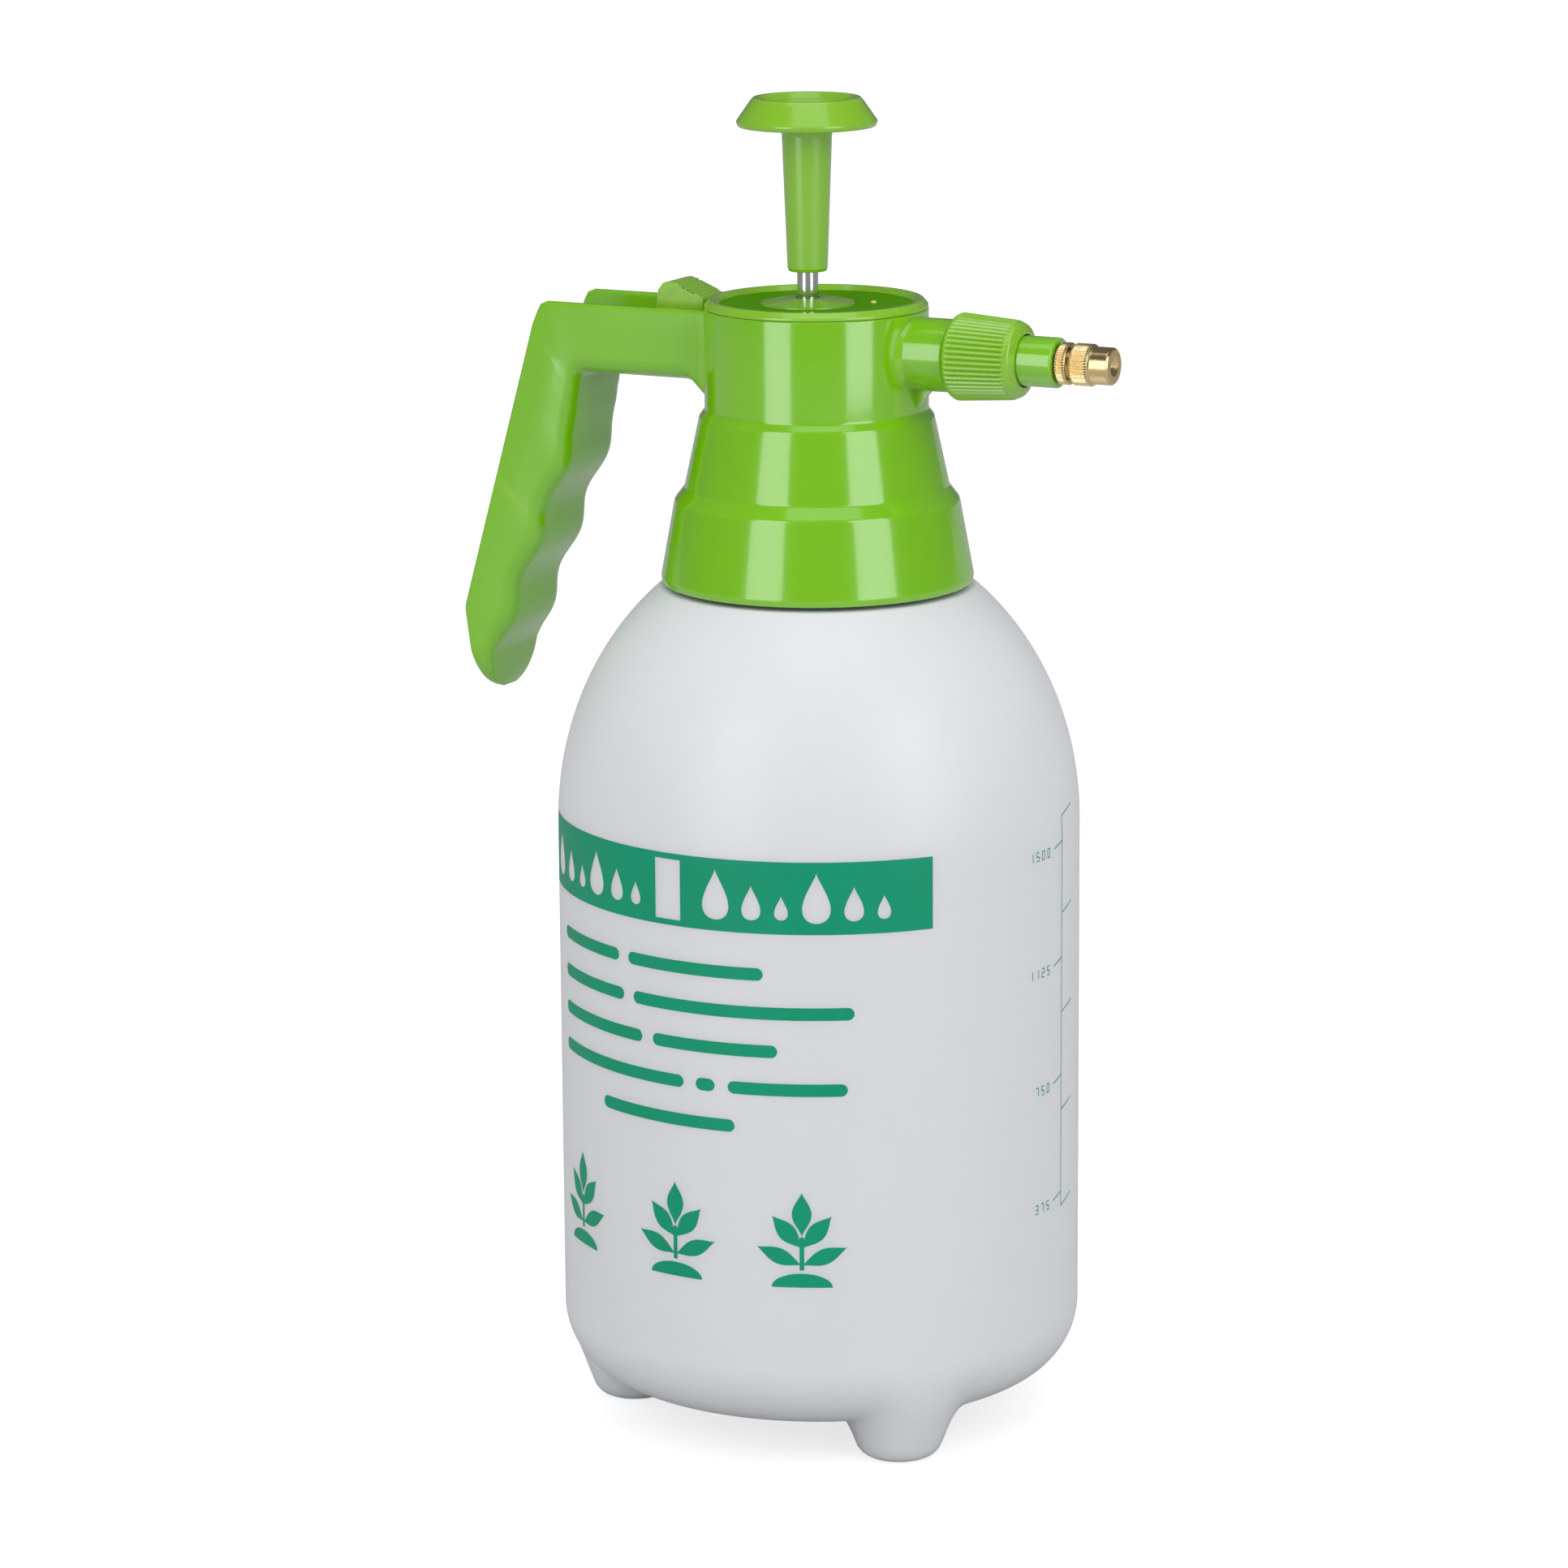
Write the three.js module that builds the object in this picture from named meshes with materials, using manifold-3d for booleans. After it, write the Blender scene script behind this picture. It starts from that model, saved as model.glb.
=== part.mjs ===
// Hand-pumped pressure sprayer, 1.5 litre. Millimetres, +Z up.
// The bottle's axis is the working axis; the nozzle points to +X and the handle to -X.
// The finished assembly is slid along X so that its origin is under the middle of its box.
import * as THREE from 'three';
import { mergeVertices } from 'three/addons/utils/BufferGeometryUtils.js';
import Module from 'manifold-3d';

const wasm = await Module();
wasm.setup();

// ---------- driving dimensions ----------
const gap = 0.3; // air kept between touching pieces

// bottle
const bottleRadius = 62.5;
const bottleWall = 1.8;
const straightHeight = 119;
const baseClearance = 10.5;
const baseRoundWidth = 14.5;
const baseRoundHeight = 16.5;
const baseDish = 3.5;
const shoulderRise = 71;
const footCount = 3;
const footCircle = 46;
const footFirstAngle = -40;
const footPadRadius = 6.5;
const footCorner = 3.5;
const footTopRadius = 15;
const footTopHeight = 19;
const bulgeRadius = 11;
const bulgeCircle = 40;
const bulgeDrop = 2.3;

// neck and thread
const neckRadius = 27;
const neckWall = 2;
const neckHeight = 22.7;
const threadDepth = 1.6;
const threadPitch = 4.2;
const threadTurns = 1.75;
const threadStart = 7;
const gasketThickness = 1.6;

// head, heights counted from the skirt's lower edge
const skirtLift = 0.9;
const skirtFlare = 10.2; // each reach is counted from the neck's wall
const skirtTopFlare = 6.8;
const skirtHeight = 19.8;
const coneFlare = 4.5;
const coneTopReach = 1.3; // beyond the head's cylinder
const coneStart = 22.9;
const coneEnd = 39.6;
const headInset = 0.5; // the head's cylinder is this much slimmer than the neck
const headStart = 41.1;
const headHeight = 65.2;
const headWall = 2.3;
const skirtWall = 2.2;
const skirtTopWall = 1.6;
const skirtLip = 0.7; // the lower edge is drawn in by this much
const skirtLipRise = 1.3;
const skirtRoofDrop = 4; // the skirt's hollow ends this far under its top
const sleeveWall = 2; // round the female thread's bore
const sleeveLift = 2.6; // the sleeve starts this far above the skirt's edge
const webRise = 1.2; // above the start of the cylinder
const seatOverlap = 0.7; // the roof's opening over the neck's bore
const webThickness = 2.6;
const threadClearance = 0.5;

// cap
const capThickness = 2.0;
const capBevel = 1.2;
const capDish = 1.3;
const bossRadius = 11.3;
const bossRise = 1.5;
const capSleeveDepth = 8;
const capPlugDepth = 4;
const capPlugWall = 1.7;
const capBand = 1.4; // the bevel starts this far under the top
const capLand = 1.2;
const bushRadius = 6.5;
const bushHeight = 4.5;
const bushWall = 1.5;

// arm and grip
const gripWidth = 26;
const gripWall = 2.5;
const gripCorner = 4;
const armTopDrop = 0.9;
const armDepth = 16.8;
const armLength = 38.5; // from the head's cylinder to the grip's top corner
const gripLean = 24.9; // from the top corner back to the heel
const gripLength = 97.2;
const gripHeelHeight = 19.8;
const gripDepth = 6.4; // from the top corner to the finger face
const fingerSlope = 0.404;
const fingerWave = 1.1;
const fingerPitch = 19.3;
const fingerPhase = 17.3; // depth of the first crest below the grip's top
const fingerEase = 4; // how far the face swings forward under its top
const fingerBlend = 10; // depth over which waves and swing come in
const fingerEnd = 64.6; // depth at which the waves stop
const fingerTipSlope = 0.17; // the steeper run from there to the tip
const fingerTop = 5.6; // the face starts this far under the arm
const gusset = 4.6;
const gripTipRise = 12.15; // height of the tip's elliptic end
const channelFloor = 14; // the channel ends this far above the tip

// pump
const pumpOffset = -2.2;
const barrelRadius = 14;
const barrelWall = 1.5;
const barrelLength = 120;
const barrelFloor = 2;
const barrelTopDrop = 2.4; // under the head's top
const ventRadius = 1.1;
const ventCircle = 5;
const valveHoleRadius = 2.4;
const flapRadius = 7.4;
const barrelSkirt = 4;
const flangeReach = 2.1;
const flangeThickness = 2;
const sealThickness = 1.4;
const rodRadius = 2.5;
const pistonLift = 6.7; // clear height under the piston at rest
const pistonHeight = 11;
const pistonClearance = 0.7;
const rodSocketDepth = 4.5;
const rodReach = 0.7; // share of the stem's length that the rod fills
const cupHeight = 6;
const cupDepth = 4.5; // radial room for the cup behind the barrel's bore
const stemGap = 6.4;
const stemLength = 34;
const stemFootRadius = 4.8;
const stemHeadRadius = 5.9;
const knobRadius = 16.7;
const knobTopRadius = 12.8;
const knobHeight = 6.8;
const knobDish = 1.6;

// trigger and valve
const triggerWidth = 11;
const pinReachBack = 3.3; // behind the head's cylinder
const pinDrop = 5.4;
const pinRadius = 1.5;
const pinSkin = 1.3; // plastic left over the pin's ends
const triggerDrop = 3.2; // the trigger's underside below the head's top
const valveReach = 7.2; // behind the pin
const valveRadius = 5;
const valveBore = 2.7;
const valveHeight = 5.8;
const portRise = 2.8;
const valveTravel = 1.25;
const armTubeRadius = 2;
const armTubeY = 2.4;
const valveStemRadius = 1.5;
const springRadius = 2.9;
const springWire = 0.5;
const springTurns = 2.5;
const triggerPeak = 5.4;

// suction and delivery
const suctionRadius = 2.5;
const suctionBore = 1.7;
const filterRadius = 3.4;
const filterHeight = 15;
const filterClearance = 2;
const deliveryRadius = 1.9;
const deliveryBore = 1.3;

// spray end
const spigotRadius = 8.6;
const spigotTopDrop = 0.9; // from the head's top to the top of the spigot
const spigotCollar = 9.5; // beyond the head's cylinder
const spigotThreadCut = 0.5;
const spigotThread = 12;
const spigotWall = 3.1;
const spigotRoot = 6; // how deep it starts inside the cylinder
const braceReach = 4.5;
const braceWidth = 2;
const nutSetback = 1.2; // air between the collar and the nut
const nutKnurl = 14.6;
const nutNose = 2.4;
const nutBackWall = 2.25; // over the spigot's thread
const nutFrontWall = 1.1;
const tubeRadius = 5.9;
const tubeFlange = 2;
const washerThickness = 1;
const tubeReach = 15; // beyond the end of the spigot
const tubeWall = 1.8;
const brassRingDrop = 0.95; // slimmer than the nozzle tube
const brassRingWidth = 2.7;
const brassShank = 8;
const tipGap = 0.9;
const tipKnurlWidth = 4.7;
const tipStep = 0.55; // the nose is this much slimmer than the knurl
const tipNose = 5.0;
const tipWall = 1.1;
const orificeRadius = 0.6;

// ---------- derived radii ----------
const skirtRadius = neckRadius + skirtFlare;
const skirtTopRadius = neckRadius + skirtTopFlare;
const coneRadius = neckRadius + coneFlare;
const headRadius = neckRadius - headInset;
const coneTopRadius = headRadius + coneTopReach;
const ledgeRadius = skirtRadius + gap;
const boreRadius = headRadius - headWall;
const threadBore = neckRadius + threadDepth + threadClearance;
const pinX = -headRadius - pinReachBack;
const valveX = pinX - valveReach;
const suctionX = -(neckRadius - neckWall - filterRadius - 2 * gap);
const deliveryCircle = boreRadius - deliveryRadius - 1;
const barrelInner = barrelRadius - barrelWall;
const spigotThreadRadius = spigotRadius - spigotThreadCut;
const nutBackRadius = spigotThreadRadius + nutBackWall;
const nutFrontRadius = spigotThreadRadius + nutFrontWall;
const tubeBore = tubeRadius - tubeWall;
const brassRingRadius = tubeRadius - brassRingDrop;
const tipKnurlRadius = brassRingRadius;
const tipRadius = tipKnurlRadius - tipStep;

// ---------- derived reaches along X ----------
const armReach = headRadius + armLength;
const gripHeel = armReach + gripLean;
const fingerTopX = gripDepth - armReach;
const spigotNeckX = headRadius + spigotCollar;
const spigotLength = spigotNeckX + spigotThread;
const nutBack = spigotNeckX + nutSetback;
const nutKnurlEnd = nutBack + nutKnurl;
const nutFront = nutKnurlEnd + nutNose;
const tubeEnd = spigotLength + tubeReach;

// ---------- derived heights ----------
const wallBottom = baseClearance + baseRoundHeight;
const shoulderStart = wallBottom + straightHeight;
const ledgeHeight = shoulderStart + shoulderRise * Math.sqrt(1 - (ledgeRadius / bottleRadius) ** 2);
const rimHeight = ledgeHeight + neckHeight;
const skirtBase = ledgeHeight + skirtLift;
const roofHeight = rimHeight + gasketThickness + 2 * gap;
const headTop = skirtBase + headHeight;
const webTop = skirtBase + headStart + webRise;
const webBottom = webTop - webThickness;
const armTop = headTop - armTopDrop;
const armBottom = armTop - armDepth;
const gripTip = armTop - gripLength;
const capTop = headTop + capThickness;
const nozzleHeight = headTop - spigotTopDrop - spigotRadius;
const barrelTop = headTop - barrelTopDrop;
const barrelBottom = barrelTop - barrelLength;
const flangeBase = webTop + sealThickness + 2 * gap;
const pistonBase = barrelBottom + barrelFloor + pistonLift;
const stemBase = capTop + stemGap;
const knobBase = stemBase + stemLength;
const knobTop = knobBase + knobHeight;
const pinHeight = headTop - pinDrop;
const triggerUnderside = headTop - triggerDrop;
const armFloor = armBottom + gripWall;
const valveBase = armFloor + gap;
const valveTop = valveBase + valveHeight;
const portHeight = valveBase + portRise;
const tipStart = tubeEnd + gap + brassRingWidth + tipGap;
const tipEnd = tipStart + tipKnurlWidth + tipNose;
const axisShift = (gripHeel - tipEnd) / 2;

// ---------- helpers ----------
const round = 36;
const medium = 24;
const small = 12;

// Builds a solid from a closed geometry and turns it so that its faces point out.
function solid(geometry) {
  const plain = geometry.clone();
  plain.deleteAttribute('normal');
  plain.deleteAttribute('uv');
  const merged = mergeVertices(plain, 1e-4);
  const points = merged.attributes.position;
  const index = merged.index.array;
  const kept = [];
  let volume = 0;
  const a = new THREE.Vector3();
  const b = new THREE.Vector3();
  const c = new THREE.Vector3();
  for (let i = 0; i < index.length; i += 3) {
    const [p, q, r] = [index[i], index[i + 1], index[i + 2]];
    if (p === q || q === r || r === p) continue;
    a.fromBufferAttribute(points, p);
    b.fromBufferAttribute(points, q);
    c.fromBufferAttribute(points, r);
    volume += a.dot(b.cross(c));
    kept.push(p, q, r);
  }
  if (volume < 0) kept.reverse();
  const vertProperties = new Float32Array(points.array);
  const triVerts = new Uint32Array(kept);
  return new wasm.Manifold(new wasm.Mesh({ numProp: 3, vertProperties, triVerts }));
}

// Turns a profile of [radius, height] points round the Z axis.
function turned(profile, segments, x = 0, y = 0) {
  const points = profile.map(([r, z]) => new THREE.Vector2(r, z));
  const geometry = new THREE.LatheGeometry(points, segments);
  geometry.rotateX(Math.PI / 2);
  geometry.translate(x, y, 0);
  return solid(geometry);
}

// Turns a profile of [radius, distance] points round a line along X at the given height.
function turnedX(profile, segments, z, y = 0) {
  const points = profile.map(([r, x]) => new THREE.Vector2(r, x));
  const geometry = new THREE.LatheGeometry(points, segments);
  geometry.rotateZ(-Math.PI / 2);
  geometry.translate(0, y, z);
  return solid(geometry);
}

// A plain upright round bar or bore, and the same lying along X or Y.
function bar(radius, z0, z1, segments = medium, x = 0, y = 0) {
  return turned([[0, z0], [radius, z0], [radius, z1], [0, z1]], segments, x, y);
}

function barX(radius, x0, x1, z, y = 0, segments = small) {
  return turnedX([[0, x0], [radius, x0], [radius, x1], [0, x1]], segments, z, y);
}

function barY(radius, y0, y1, x, z, segments = small) {
  const geometry = new THREE.CylinderGeometry(radius, radius, y1 - y0, segments);
  geometry.translate(x, (y0 + y1) / 2, z);
  return solid(geometry);
}

// Closes a profile on itself, for a ring.
function loop(points) {
  return [...points, points[0]];
}

// Pushes an outline drawn in X and Z through the width, centred on Y.
function slab(points, width, bevel = 0) {
  const shape = new THREE.Shape(points.map(([x, z]) => new THREE.Vector2(x, z)));
  const geometry = new THREE.ExtrudeGeometry(shape, {
    depth: width - 2 * bevel,
    bevelEnabled: bevel > 0,
    bevelThickness: bevel,
    bevelSize: bevel,
    bevelOffset: -bevel,
    bevelSegments: 2,
  });
  geometry.translate(0, 0, bevel - width / 2);
  geometry.rotateX(Math.PI / 2);
  return solid(geometry);
}

function arc(cx, cz, rx, rz, from, to, steps) {
  const points = [];
  for (let i = 0; i <= steps; i += 1) {
    const t = THREE.MathUtils.degToRad(from + ((to - from) * i) / steps);
    points.push([cx + rx * Math.cos(t), cz + rz * Math.sin(t)]);
  }
  return points;
}

function joined(...pieces) {
  return pieces.reduce((whole, piece) => whole.add(piece));
}

function cut(body, ...tools) {
  return tools.reduce((rest, tool) => rest.subtract(tool), body);
}

const assembly = new THREE.Group();
assembly.position.x = axisShift;

function place(name, body, material) {
  const mesh = body.getMesh();
  const geometry = new THREE.BufferGeometry();
  geometry.setAttribute('position', new THREE.BufferAttribute(mesh.vertProperties, 3));
  geometry.setIndex(new THREE.BufferAttribute(mesh.triVerts, 1));
  geometry.computeVertexNormals();
  const node = new THREE.Mesh(geometry, material());
  node.name = name;
  assembly.add(node);
}

// ---------- materials ----------
const greenPlastic = () => new THREE.MeshStandardMaterial({ color: 0x6fb516, roughness: 0.28 });
const milkyPlastic = () => new THREE.MeshStandardMaterial({ color: 0xe3e9ef, roughness: 0.4 });
const whitePlastic = () => new THREE.MeshStandardMaterial({ color: 0xf2f2ee, roughness: 0.45 });
const blackRubber = () => new THREE.MeshStandardMaterial({ color: 0x1c1c1c, roughness: 0.7 });
const clearHose = () => new THREE.MeshStandardMaterial({ color: 0xdfe6e4, roughness: 0.35 });
const brass = () => new THREE.MeshStandardMaterial({ color: 0xd3ac66, roughness: 0.3, metalness: 1 });
const steel = () => new THREE.MeshStandardMaterial({ color: 0xc9ccd0, roughness: 0.2, metalness: 1 });

// ---------- bottle ----------
// One skin of the bottle's body, moved inwards by the given wall.
function bottleBody(inset, top) {
  const wall = bottleRadius - inset;
  const base = arc(
    bottleRadius - baseRoundWidth, wallBottom,
    baseRoundWidth - inset, baseRoundHeight - inset, -90, 0, 4,
  );
  const shoulderA = wall;
  const shoulderB = shoulderRise - inset;
  const ledge = ledgeHeight - inset;
  const last = THREE.MathUtils.radToDeg(Math.asin((ledge - shoulderStart) / shoulderB));
  const shoulder = arc(0, shoulderStart, shoulderA, shoulderB, 0, last, 7);
  const neck = neckRadius - (inset > 0 ? neckWall : 0);
  return turned([
    [0, baseClearance + baseDish + inset],
    ...base,
    ...shoulder,
    [neck, ledge],
    [neck, top],
    [0, top],
  ], round);
}

function footShape(inset, angle) {
  const a = THREE.MathUtils.degToRad(angle);
  const pad = footPadRadius;
  const corner = arc(pad, footCorner, footCorner - inset * 0.4, footCorner - inset, -90, -30, 2);
  return turned([
    [0, inset],
    ...corner,
    [footTopRadius - inset, footTopHeight],
    [0, footTopHeight + 2],
  ], 16, footCircle * Math.cos(a), footCircle * Math.sin(a));
}

function bulge(inset, angle) {
  const a = THREE.MathUtils.degToRad(angle);
  const geometry = new THREE.SphereGeometry(bulgeRadius - inset, 10, 6);
  geometry.rotateX(Math.PI / 2);
  geometry.translate(
    bulgeCircle * Math.cos(a), bulgeCircle * Math.sin(a),
    baseClearance - bulgeDrop + bulgeRadius,
  );
  return solid(geometry);
}

// The neck's male thread: a four-sided bar wound up the neck, run out at both ends.
function threadRidge() {
  const steps = Math.round(threadTurns * 14);
  const inner = neckRadius - 0.6;
  const reach = threadDepth + 0.6;
  const corners = [[0, -1.1], [reach, -0.4], [reach, 0.4], [0, 1.1]];
  const geometry = new THREE.CylinderGeometry(1, 1, 1, 4, steps);
  const position = geometry.attributes.position;
  const v = new THREE.Vector3();
  for (let i = 0; i < position.count; i += 1) {
    v.fromBufferAttribute(position, i);
    const t = v.y + 0.5;
    const onAxis = Math.hypot(v.x, v.z) < 0.5;
    const side = (Math.round(Math.atan2(v.z, v.x) / (Math.PI / 2)) + 4) % 4;
    const taper = 0.2 + 0.8 * Math.min(1, 8 * t, 8 * (1 - t));
    const [out, up] = onAxis ? [reach / 2, 0] : corners[side];
    const angle = t * threadTurns * 2 * Math.PI;
    const r = inner + out * taper;
    const z = ledgeHeight + threadStart + t * threadTurns * threadPitch + up;
    position.setXYZ(i, r * Math.cos(angle), r * Math.sin(angle), z);
  }
  return solid(geometry);
}

function bottle() {
  const footAngles = [...Array(footCount).keys()].map((i) => footFirstAngle + (i * 360) / footCount);
  const bulgeAngles = footAngles.map((angle) => angle + 180 / footCount);
  const skin = (inset, top) => joined(
    bottleBody(inset, top),
    ...footAngles.map((angle) => footShape(inset, angle)),
    ...bulgeAngles.map((angle) => bulge(inset, angle)),
  );
  const outside = joined(skin(0, rimHeight), threadRidge());
  return cut(outside, skin(bottleWall, rimHeight + 1));
}
place('bottle', bottle(), milkyPlastic);

// ---------- neck gasket ----------
const gasketBase = rimHeight + gap;
place('neck_gasket', turned(loop([
  [neckRadius - neckWall + gap, gasketBase],
  [threadBore - gap, gasketBase],
  [threadBore - gap, gasketBase + gasketThickness],
  [neckRadius - neckWall + gap, gasketBase + gasketThickness],
]), round), blackRubber);

// ---------- head housing ----------
function headOutside() {
  const z = (h) => skirtBase + h;
  return turned([
    [0, z(0)],
    [skirtRadius - skirtLip, z(0)],
    [skirtRadius, z(skirtLipRise)],
    [skirtTopRadius, z(skirtHeight)],
    [coneRadius, z(coneStart)],
    [coneTopRadius, z(coneEnd)],
    [headRadius, z(headStart)],
    [headRadius, headTop],
    [0, headTop],
  ], round);
}

// Side view of the grip's finger face, from the arm down past the tip.
function fingerFace() {
  const points = [];
  const top = armBottom - fingerTop;
  const steps = 18;
  const reach = top - gripTip + 4;
  for (let i = 0; i <= steps; i += 1) {
    const down = (reach * i) / steps;
    const waved = Math.min(down, fingerEnd);
    const wave = fingerWave * (Math.cos((2 * Math.PI * (waved - fingerPhase)) / fingerPitch) - 1);
    const held = Math.min(1, waved / fingerBlend);
    const lean = fingerSlope * waved + fingerTipSlope * (down - waved);
    points.push([fingerTopX - lean + (wave + fingerEase) * held, top - down]);
  }
  return points;
}

function armAndGripFaces(inset) {
  const far = gripHeel + 12;
  const fingers = fingerFace().map(([x, z]) => [x - inset, z]);
  const low = fingers[fingers.length - 1];
  return [
    [-headRadius / 2, armTop + 12],
    [-far, armTop + 12],
    [-far, low[1]],
    low,
    ...fingers.slice(0, -1).reverse(),
    [fingerTopX - inset + 1.3, armBottom + inset - 1.6],
    [fingerTopX - inset + 4.4, armBottom + inset],
    [-headRadius - 1, armBottom + inset],
    [-headRadius + gusset - 1, armBottom + inset - gusset],
    [-headRadius / 2, armBottom + inset - gusset],
  ];
}

// Where the moulding ends: top of the arm, back edge, heel and tip.
function backOutline() {
  const heel = armTop - gripLength + gripHeelHeight;
  return [
    [0, armTop],
    [-armReach, armTop],
    [-armReach - 2.6, armTop - 1],
    [-armReach - 4, armTop - 4],
    [-gripHeel + 0.3, heel + 2.4],
    [-gripHeel, heel],
    [-gripHeel + 1.7, heel - 10],
    [-gripHeel + 2.6, heel - 14.4],
    [-gripHeel + 3.5, heel - 18],
    [-gripHeel + 4.6, gripTip],
    [-gripHeel + 6.4, gripTip + 0.6],
    [0, gripTip + 0.6],
  ];
}

// Front view of the grip: straight sides and an elliptical tip.
function tipOutline() {
  const tip = arc(0, gripTip + gripTipRise, gripWidth / 2, gripTipRise, 180, 360, 8);
  const points = [[-gripWidth / 2, armTop + 1], ...tip, [gripWidth / 2, armTop + 1]];
  const shape = new THREE.Shape(points.map(([y, z]) => new THREE.Vector2(y, z)));
  const geometry = new THREE.ExtrudeGeometry(shape, { depth: gripHeel + 20, bevelEnabled: false });
  geometry.rotateX(Math.PI / 2);
  geometry.rotateZ(Math.PI / 2);
  geometry.translate(-gripHeel - 15, 0, 0);
  return solid(geometry);
}

function armAndGrip() {
  const faces = slab(armAndGripFaces(0), gripWidth, gripCorner);
  const block = faces.intersect(slab(backOutline(), gripWidth + 2)).intersect(tipOutline());
  const channelEnd = gripTip + channelFloor;
  const room = slab(armAndGripFaces(gripWall), gripWidth - 2 * gripWall);
  const above = slab([
    [-headRadius / 2, channelEnd],
    [-headRadius / 2, armTop + 20],
    [-gripHeel - 20, armTop + 20],
    [-gripHeel - 20, channelEnd],
  ], gripWidth);
  return cut(block, room.intersect(above));
}

function headHousing() {
  const spigot = turnedX([
    [0, headRadius - spigotRoot],
    [spigotRadius, headRadius - spigotRoot],
    [spigotRadius, spigotNeckX],
    [spigotThreadRadius, spigotNeckX + 0.5],
    [spigotThreadRadius, spigotLength],
    [0, spigotLength],
  ], medium, nozzleHeight);
  const gussetFoot = nozzleHeight - spigotRadius;
  const brace = slab([
    [headRadius - headWall, gussetFoot - braceReach],
    [headRadius + braceReach, gussetFoot + 1.5],
    [headRadius - headWall, gussetFoot + 1.5],
  ], braceWidth);
  const outside = joined(armAndGrip(), headOutside(), spigot, brace);
  const skirtRoof = skirtBase + skirtHeight - skirtRoofDrop;
  const skirtRoom = turned(loop([
    [threadBore + sleeveWall, skirtBase - 1],
    [skirtRadius - skirtWall, skirtBase - 1],
    [skirtRadius - skirtWall, skirtBase + 1],
    [skirtTopRadius - skirtTopWall, skirtRoof],
    [threadBore + sleeveWall, skirtRoof],
  ]), round);
  const armHole = (y) => barX(
    armTubeRadius + gap, -headRadius - 3, -boreRadius + 3, portHeight, y,
  );
  return cut(
    outside,
    bar(threadBore, skirtBase - 1, roofHeight, round),
    bar(skirtRadius - skirtWall, skirtBase - 1, skirtBase + sleeveLift, round),
    skirtRoom,
    bar(neckRadius - neckWall + seatOverlap, roofHeight - 1, webBottom, round),
    bar(boreRadius, webTop, headTop + 1, round),
    bar(barrelRadius + gap, webBottom - 1, webTop + 1, medium, pumpOffset),
    bar(suctionRadius + gap, webBottom - 1, webTop + 1, small, suctionX, -armTubeY),
    armHole(-armTubeY),
    armHole(armTubeY),
    barX(spigotThreadRadius - spigotWall, boreRadius - 3, spigotLength + 1, nozzleHeight),
    barY(pinRadius + gap, -gripWidth / 2 + pinSkin, gripWidth / 2 - pinSkin, pinX, pinHeight),
  );
}
place('head_housing', headHousing(), greenPlastic);

// ---------- top cap ----------
const capSeat = headTop + gap;
const sleeveBore = barrelRadius + gap;
const capRoof = capSeat + 0.2;
function topCap() {
  const rim = headRadius - 0.1;
  const dish = capTop - capDish;
  const lid = turned([
    [0, capSeat],
    [rim, capSeat],
    [rim, capTop - capBand],
    [rim - capBevel, capTop],
    [rim - capBevel - capLand, capTop],
    [rim - capBevel - capLand - 1, dish],
    [0, dish],
  ], round);
  const boss = turned([
    [0, dish - 0.5],
    [bossRadius, dish - 0.5],
    [bossRadius, dish + 0.3],
    [rodRadius + 2.2, dish + bossRise],
    [0, dish + bossRise],
  ], medium, pumpOffset);
  const plugRadius = boreRadius - gap;
  const plug = bar(plugRadius, headTop - capPlugDepth, capSeat + 0.5, round);
  const hollow = bar(plugRadius - capPlugWall, headTop - capPlugDepth - 1, capRoof, round);
  const sleeve = bar(sleeveBore + 1.6, headTop - capSleeveDepth, capRoof + 0.3, medium, pumpOffset);
  const collar = bar(bushRadius + gap + bushWall, headTop - 4.2, capRoof + 0.3, medium, pumpOffset);
  const sleeveRoom = cut(
    bar(sleeveBore, headTop - capSleeveDepth - 1, capRoof, medium, pumpOffset),
    collar,
  );
  return cut(
    joined(lid, boss, cut(plug, hollow), cut(sleeve, sleeveRoom)),
    bar(bushRadius + gap, headTop - 20, capRoof, medium, pumpOffset),
    bar(rodRadius + gap, headTop - 20, capTop + 10, small, pumpOffset),
  );
}
place('top_cap', topCap(), greenPlastic);

place('rod_guide', turned(loop([
  [rodRadius + gap, capRoof - gap - bushHeight],
  [bushRadius, capRoof - gap - bushHeight],
  [bushRadius, capRoof - gap],
  [rodRadius + gap, capRoof - gap],
]), medium, pumpOffset), whitePlastic);

// ---------- pump barrel, its seal and foot valve ----------
function pumpBarrel() {
  const tube = turned(loop([
    [0, barrelBottom],
    [barrelRadius - barrelWall, barrelBottom],
    [barrelRadius - barrelWall, barrelBottom - barrelSkirt],
    [barrelRadius, barrelBottom - barrelSkirt],
    [barrelRadius, flangeBase],
    [barrelRadius + flangeReach, flangeBase],
    [barrelRadius + flangeReach, flangeBase + flangeThickness],
    [barrelRadius, flangeBase + flangeThickness],
    [barrelRadius, barrelTop],
    [barrelInner, barrelTop],
    [barrelInner, barrelBottom + barrelFloor],
    [0, barrelBottom + barrelFloor],
  ]).slice(0, -1), medium, pumpOffset);
  const vents = [45, 135, 225, 315].map((angle) => {
    const a = THREE.MathUtils.degToRad(angle);
    const z0 = barrelBottom - 1;
    const [x, y] = [ventCircle * Math.cos(a), ventCircle * Math.sin(a)];
    return bar(ventRadius, z0, z0 + 4, 8, pumpOffset + x, y);
  });
  const middle = bar(valveHoleRadius, barrelBottom - 1, barrelBottom + 4, small, pumpOffset);
  return cut(tube, middle, ...vents);
}
place('pump_barrel', pumpBarrel(), whitePlastic);

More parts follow.
